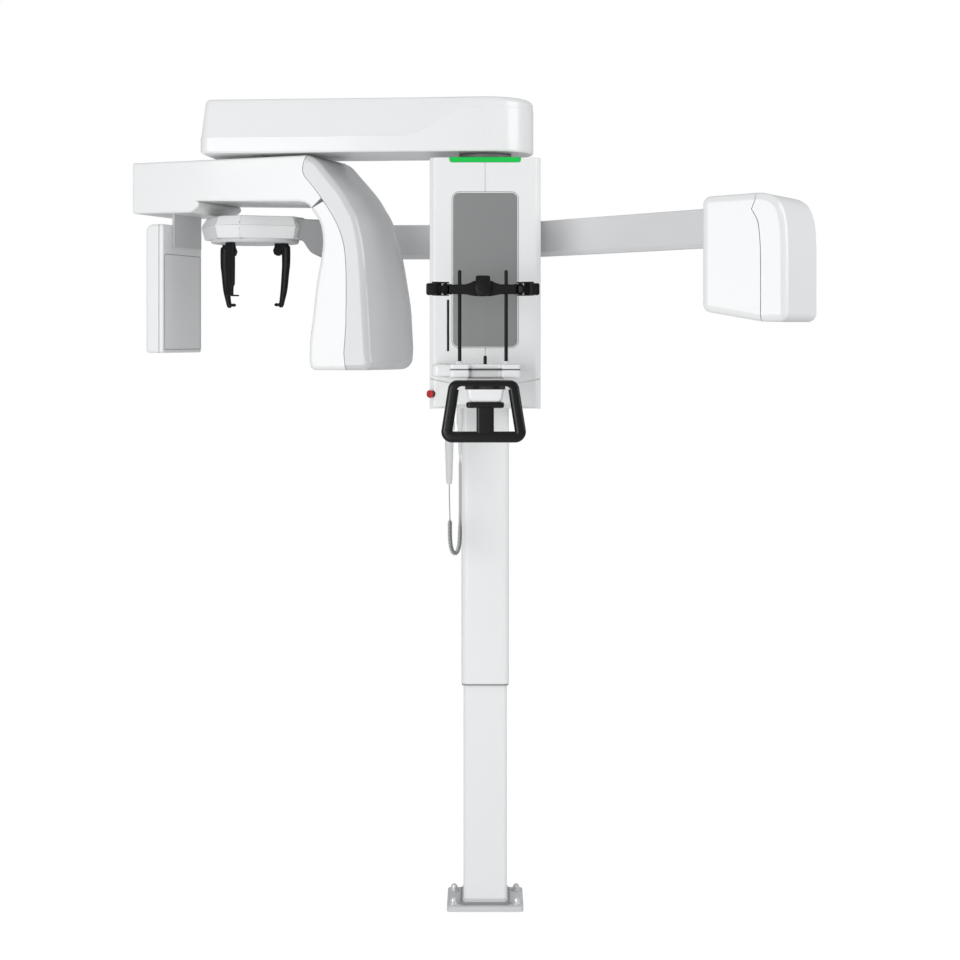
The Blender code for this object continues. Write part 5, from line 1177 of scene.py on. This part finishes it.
def build_xray_head():
    """Two shells; every edge round the sides is rolled over, more at the top than at the seam."""
    matrix = placed(*HEAD_PLACE, EAR_YAW)
    low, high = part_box("ceph_head_front_cover")[0][2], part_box("ceph_head_front_cover")[1][2]
    low = min(low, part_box("ceph_head_rear_cover")[0][2])
    half, wide, seam, gap = 0.110, 0.120, 0.044, 0.0010
    kink = (0.0206, 1.9150)
    parting = [(seam, low), (seam, 1.800), (0.0415, 1.850), (0.0378, 1.881), (0.0310, 1.898), kink]
    parting = [p for p in smooth_2d(parting, 4) if p[1] > low + 0.021]
    parting += [kink, (0.0300, high - 0.0195)]
    crest = (0.0296, high - 0.0008)
    front = [crest] + rounded([crest, (-half, high - 0.006), (-half, low + 0.026)], [0, 0.022, 0], 8)[1:-1]
    front += rounded([(-half, high - 0.004), (-half, low + 0.026), (seam, low)], [0, 0.021, 0], 8)[1:-1]
    front.append((seam - gap, low))
    front_cuts = range(len(front) - 1, len(front) + len(parting))
    front += [(x - gap, z) for x, z in parting]
    rear = rounded([(seam + gap, low), (half, low), (half, high - 0.130)], [0, 0.022, 0], 8)
    nape = [(0.0, 0.130), (0.004, 0.070), (0.018, 0.028), (0.040, 0.009), (0.066, 0.0012)]
    rear += smooth_2d([(half - back, high - drop) for back, drop in nape], 4)[1:]
    rear.append((0.0304, high - 0.0008))
    rear_cuts = range(len(rear) - 1, len(rear) + len(parting))
    rear += [(x + gap, z) for x, z in parting[::-1]]
    for name, outline, cuts, node in (
        ("head_front_shell", front, front_cuts, "ceph_head_front_cover"),
        ("head_rear_shell", rear, rear_cuts, "ceph_head_rear_cover"),
    ):
        piece = white(name, slab(outline, -wide, wide, 0.019, matrix, cuts, steps=8), 40)
        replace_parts(piece, node)


def build_emergency_stop():
    """A mushroom button over a dark ring, on the carriage's left front edge."""
    low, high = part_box("emergency_stop_button")
    facing = Vector((-0.7071, -0.7071, 0.0))
    middle = Vector(((low[0] + high[0]) / 2, (low[1] + high[1]) / 2, (low[2] + high[2]) / 2))
    turn = facing.to_track_quat("Z", "Y").to_matrix().to_4x4()
    matrix = Matrix.Translation(middle + facing * 0.0033) @ turn
    cap = [(0.0052, -0.0074), (0.0054, -0.0046), (0.0098, -0.0044), (0.0105, -0.0038), (0.0107, -0.0020)]
    cap += [(0.0107, 0.0018), (0.0102, 0.0034), (0.0084, 0.0044), (0.0050, 0.0049), (0.0004, 0.0050)]
    cap = turned(cap, steps=40, matrix=matrix)
    button = new_piece("stop_button", cap, "red_button", "emergency_stop_button", angle=45)
    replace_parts(button, "emergency_stop_button")
    ring = [(0.0060, -0.0105), (0.0098, -0.0105), (0.0098, -0.0085), (0.0090, -0.0079), (0.0060, -0.0079)]
    ring = turned(ring, steps=40, matrix=matrix, cyclic=True)
    new_piece("stop_ring", ring, "dark_plastic", "carriage")


def build_painted_shadow_ring():
    """A dark grey ring round the beam's swing axis, between the carriage and the beam: painted shadow under
    the beam's end.
    """
    axis = axis_of("beam_swing")
    low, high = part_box("front_cover")[1][2] + 0.0002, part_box("beam_tray")[0][2] - 0.0005
    profile = [(0.036, low), (0.074, low), (0.074, high - 0.001), (0.073, high), (0.036, high)]
    # dark grey here is painted shadow under the beam
    grey("swing_shadow_ring", turned(profile, axis.x, axis.y, steps=64, cyclic=True), "painted_shade_grey")


def build_column_trim():
    """A grey band round the mast's foot, and a dark band under the sleeve as painted shadow along its lower
    edge.
    """
    mast_low, mast_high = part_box("mast")
    foot = 0.0
    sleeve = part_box("column_sleeve")[0][2]
    for name, node, body, level, low, high, out in (
        ("foot_band", "mast", "base", foot, 0.0142, 0.0210, 0.0070),
        # the dark band under the sleeve is painted shadow of the sleeve's lower edge
        ("sleeve_shadow_line", "column_sleeve", "carriage", sleeve, -0.0040, -0.0003, -0.0012),
    ):
        corner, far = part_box(node)
        skin = oblong(corner[0] - out, corner[1] - out, far[0] + out, far[1] + out, 0.010, 5)
        gap = 0.0012
        hole = oblong(mast_low[0] - gap, mast_low[1] - gap, mast_high[0] + gap, mast_high[1] + gap, 0.006, 5)
        rings = []
        for plan, up in ((skin, low), (skin, high), (hole, high), (hole, low)):
            rings.append([(x, y, level + up) for x, y in plan])
        grey(name, loft(rings, cyclic=True), "band_grey", body=body)


build_column_trim()
build_painted_shadow_ring()
build_emergency_stop()
build_beam()
build_rotor()
build_sensor()
build_covers()
build_mirror()
build_shelf()
build_handle()
build_temple()
build_head_holder()
build_ear_set()
build_nasion()
build_arm()
build_xray_head()

# ---------------------------------------------------------------- softened CAD shapes

SOFT_EDGES = {
    0.0030: ["column_sleeve", "mast"],
    0.0010: ["rear_cover"],
    0.0015: ["base_plate"],
    0.0012: ["sensor_bracket"],
    0.0008: ["switch_holder", "hand_switch", "exposure_button"],
    0.0005: ["bite_peg", "left_rod", "right_rod", "cord_strain_relief"],
    0.0004: ["anchor_bolt_1", "anchor_bolt_2", "anchor_bolt_3", "anchor_bolt_4"],
}
for edge, names in SOFT_EDGES.items():
    for node in names:
        softened(node, edge)
for number in range(1, 5):
    bpy.data.objects[f"anchor_bolt_{number}_shell"].data.materials[0] = LOOKS["bolt_steel"]

# ---------------------------------------------------------------- studio


def area_light(name, place, target, size, power):
    data = bpy.data.lights.new(name, "AREA")
    data.shape = "RECTANGLE"
    data.size, data.size_y = size
    data.energy = power
    light = bpy.data.objects.new(name, data)
    light.location = place
    light.rotation_euler = (Vector(target) - Vector(place)).to_track_quat("-Z", "Y").to_euler()
    bpy.context.collection.objects.link(light)


def build_studio():
    """A white world for the camera and for reflections, a soft grey one for the light."""
    world = bpy.data.worlds.new("studio")
    bpy.context.scene.world = world
    world.use_nodes = True
    tree = world.node_tree
    tree.nodes.clear()
    output = tree.nodes.new("ShaderNodeOutputWorld")
    mix = tree.nodes.new("ShaderNodeMixShader")
    seen = tree.nodes.new("ShaderNodeBackground")
    lit = tree.nodes.new("ShaderNodeBackground")
    path = tree.nodes.new("ShaderNodeLightPath")
    direct = tree.nodes.new("ShaderNodeMath")
    direct.operation = "MAXIMUM"
    seen.inputs["Color"].default_value = (1, 1, 1, 1)
    lit.inputs["Color"].default_value = (0.95, 0.97, 1.0, 1)
    lit.inputs["Strength"].default_value = 0.46
    link = tree.links.new
    link(path.outputs["Is Camera Ray"], direct.inputs[0])
    link(path.outputs["Is Transmission Ray"], direct.inputs[1])
    link(direct.outputs[0], mix.inputs[0])
    link(lit.outputs[0], mix.inputs[1])
    link(seen.outputs[0], mix.inputs[2])
    link(mix.outputs[0], output.inputs["Surface"])
    area_light("key", (-3.1, -4.6, 1.9), (-0.3, 0.0, 1.6), (3.2, 2.6), 86.0)
    area_light("low", (-1.2, -4.6, 0.8), (0.0, 0.0, 0.8), (1.6, 1.4), 20.0)
    area_light("fill", (3.4, -1.3, 2.9), (0.1, -0.1, 1.6), (2.0, 2.4), 46.0)
    area_light("top", (-0.5, -0.6, 5.0), (-0.2, -0.1, 1.8), (2.5, 2.5), 12.0)

    floor = bpy.data.meshes.new("studio_floor")
    floor.from_pydata([(-9, -7, 0), (9, -7, 0), (9, 9, 0), (-9, 9, 0)], [], [(0, 1, 2, 3)])
    material = bpy.data.materials.new("studio_floor")
    material.use_nodes = True
    tree = material.node_tree
    shader = shader_of(material)
    shader.inputs["Base Color"].default_value = (0.85, 0.85, 0.85, 1)
    shader.inputs["Roughness"].default_value = 0.7
    glow = tree.nodes.new("ShaderNodeEmission")
    both = tree.nodes.new("ShaderNodeMixShader")
    path = tree.nodes.new("ShaderNodeLightPath")
    link = tree.links.new
    link(shader.outputs[0], both.inputs[1])
    link(glow.outputs[0], both.inputs[2])
    scaled = tree.nodes.new("ShaderNodeMath")
    scaled.operation = "MULTIPLY"
    scaled.inputs[1].default_value = 0.88
    glow.inputs["Strength"].default_value = 1.08
    link(path.outputs["Is Camera Ray"], scaled.inputs[0])
    link(scaled.outputs[0], both.inputs[0])
    link(both.outputs[0], tree.nodes["Material Output"].inputs["Surface"])
    floor.materials.append(material)
    ground = bpy.data.objects.new("studio_floor", floor)
    bpy.context.collection.objects.link(ground)
    bpy.context.scene.view_settings.view_transform = "Standard"


build_studio()
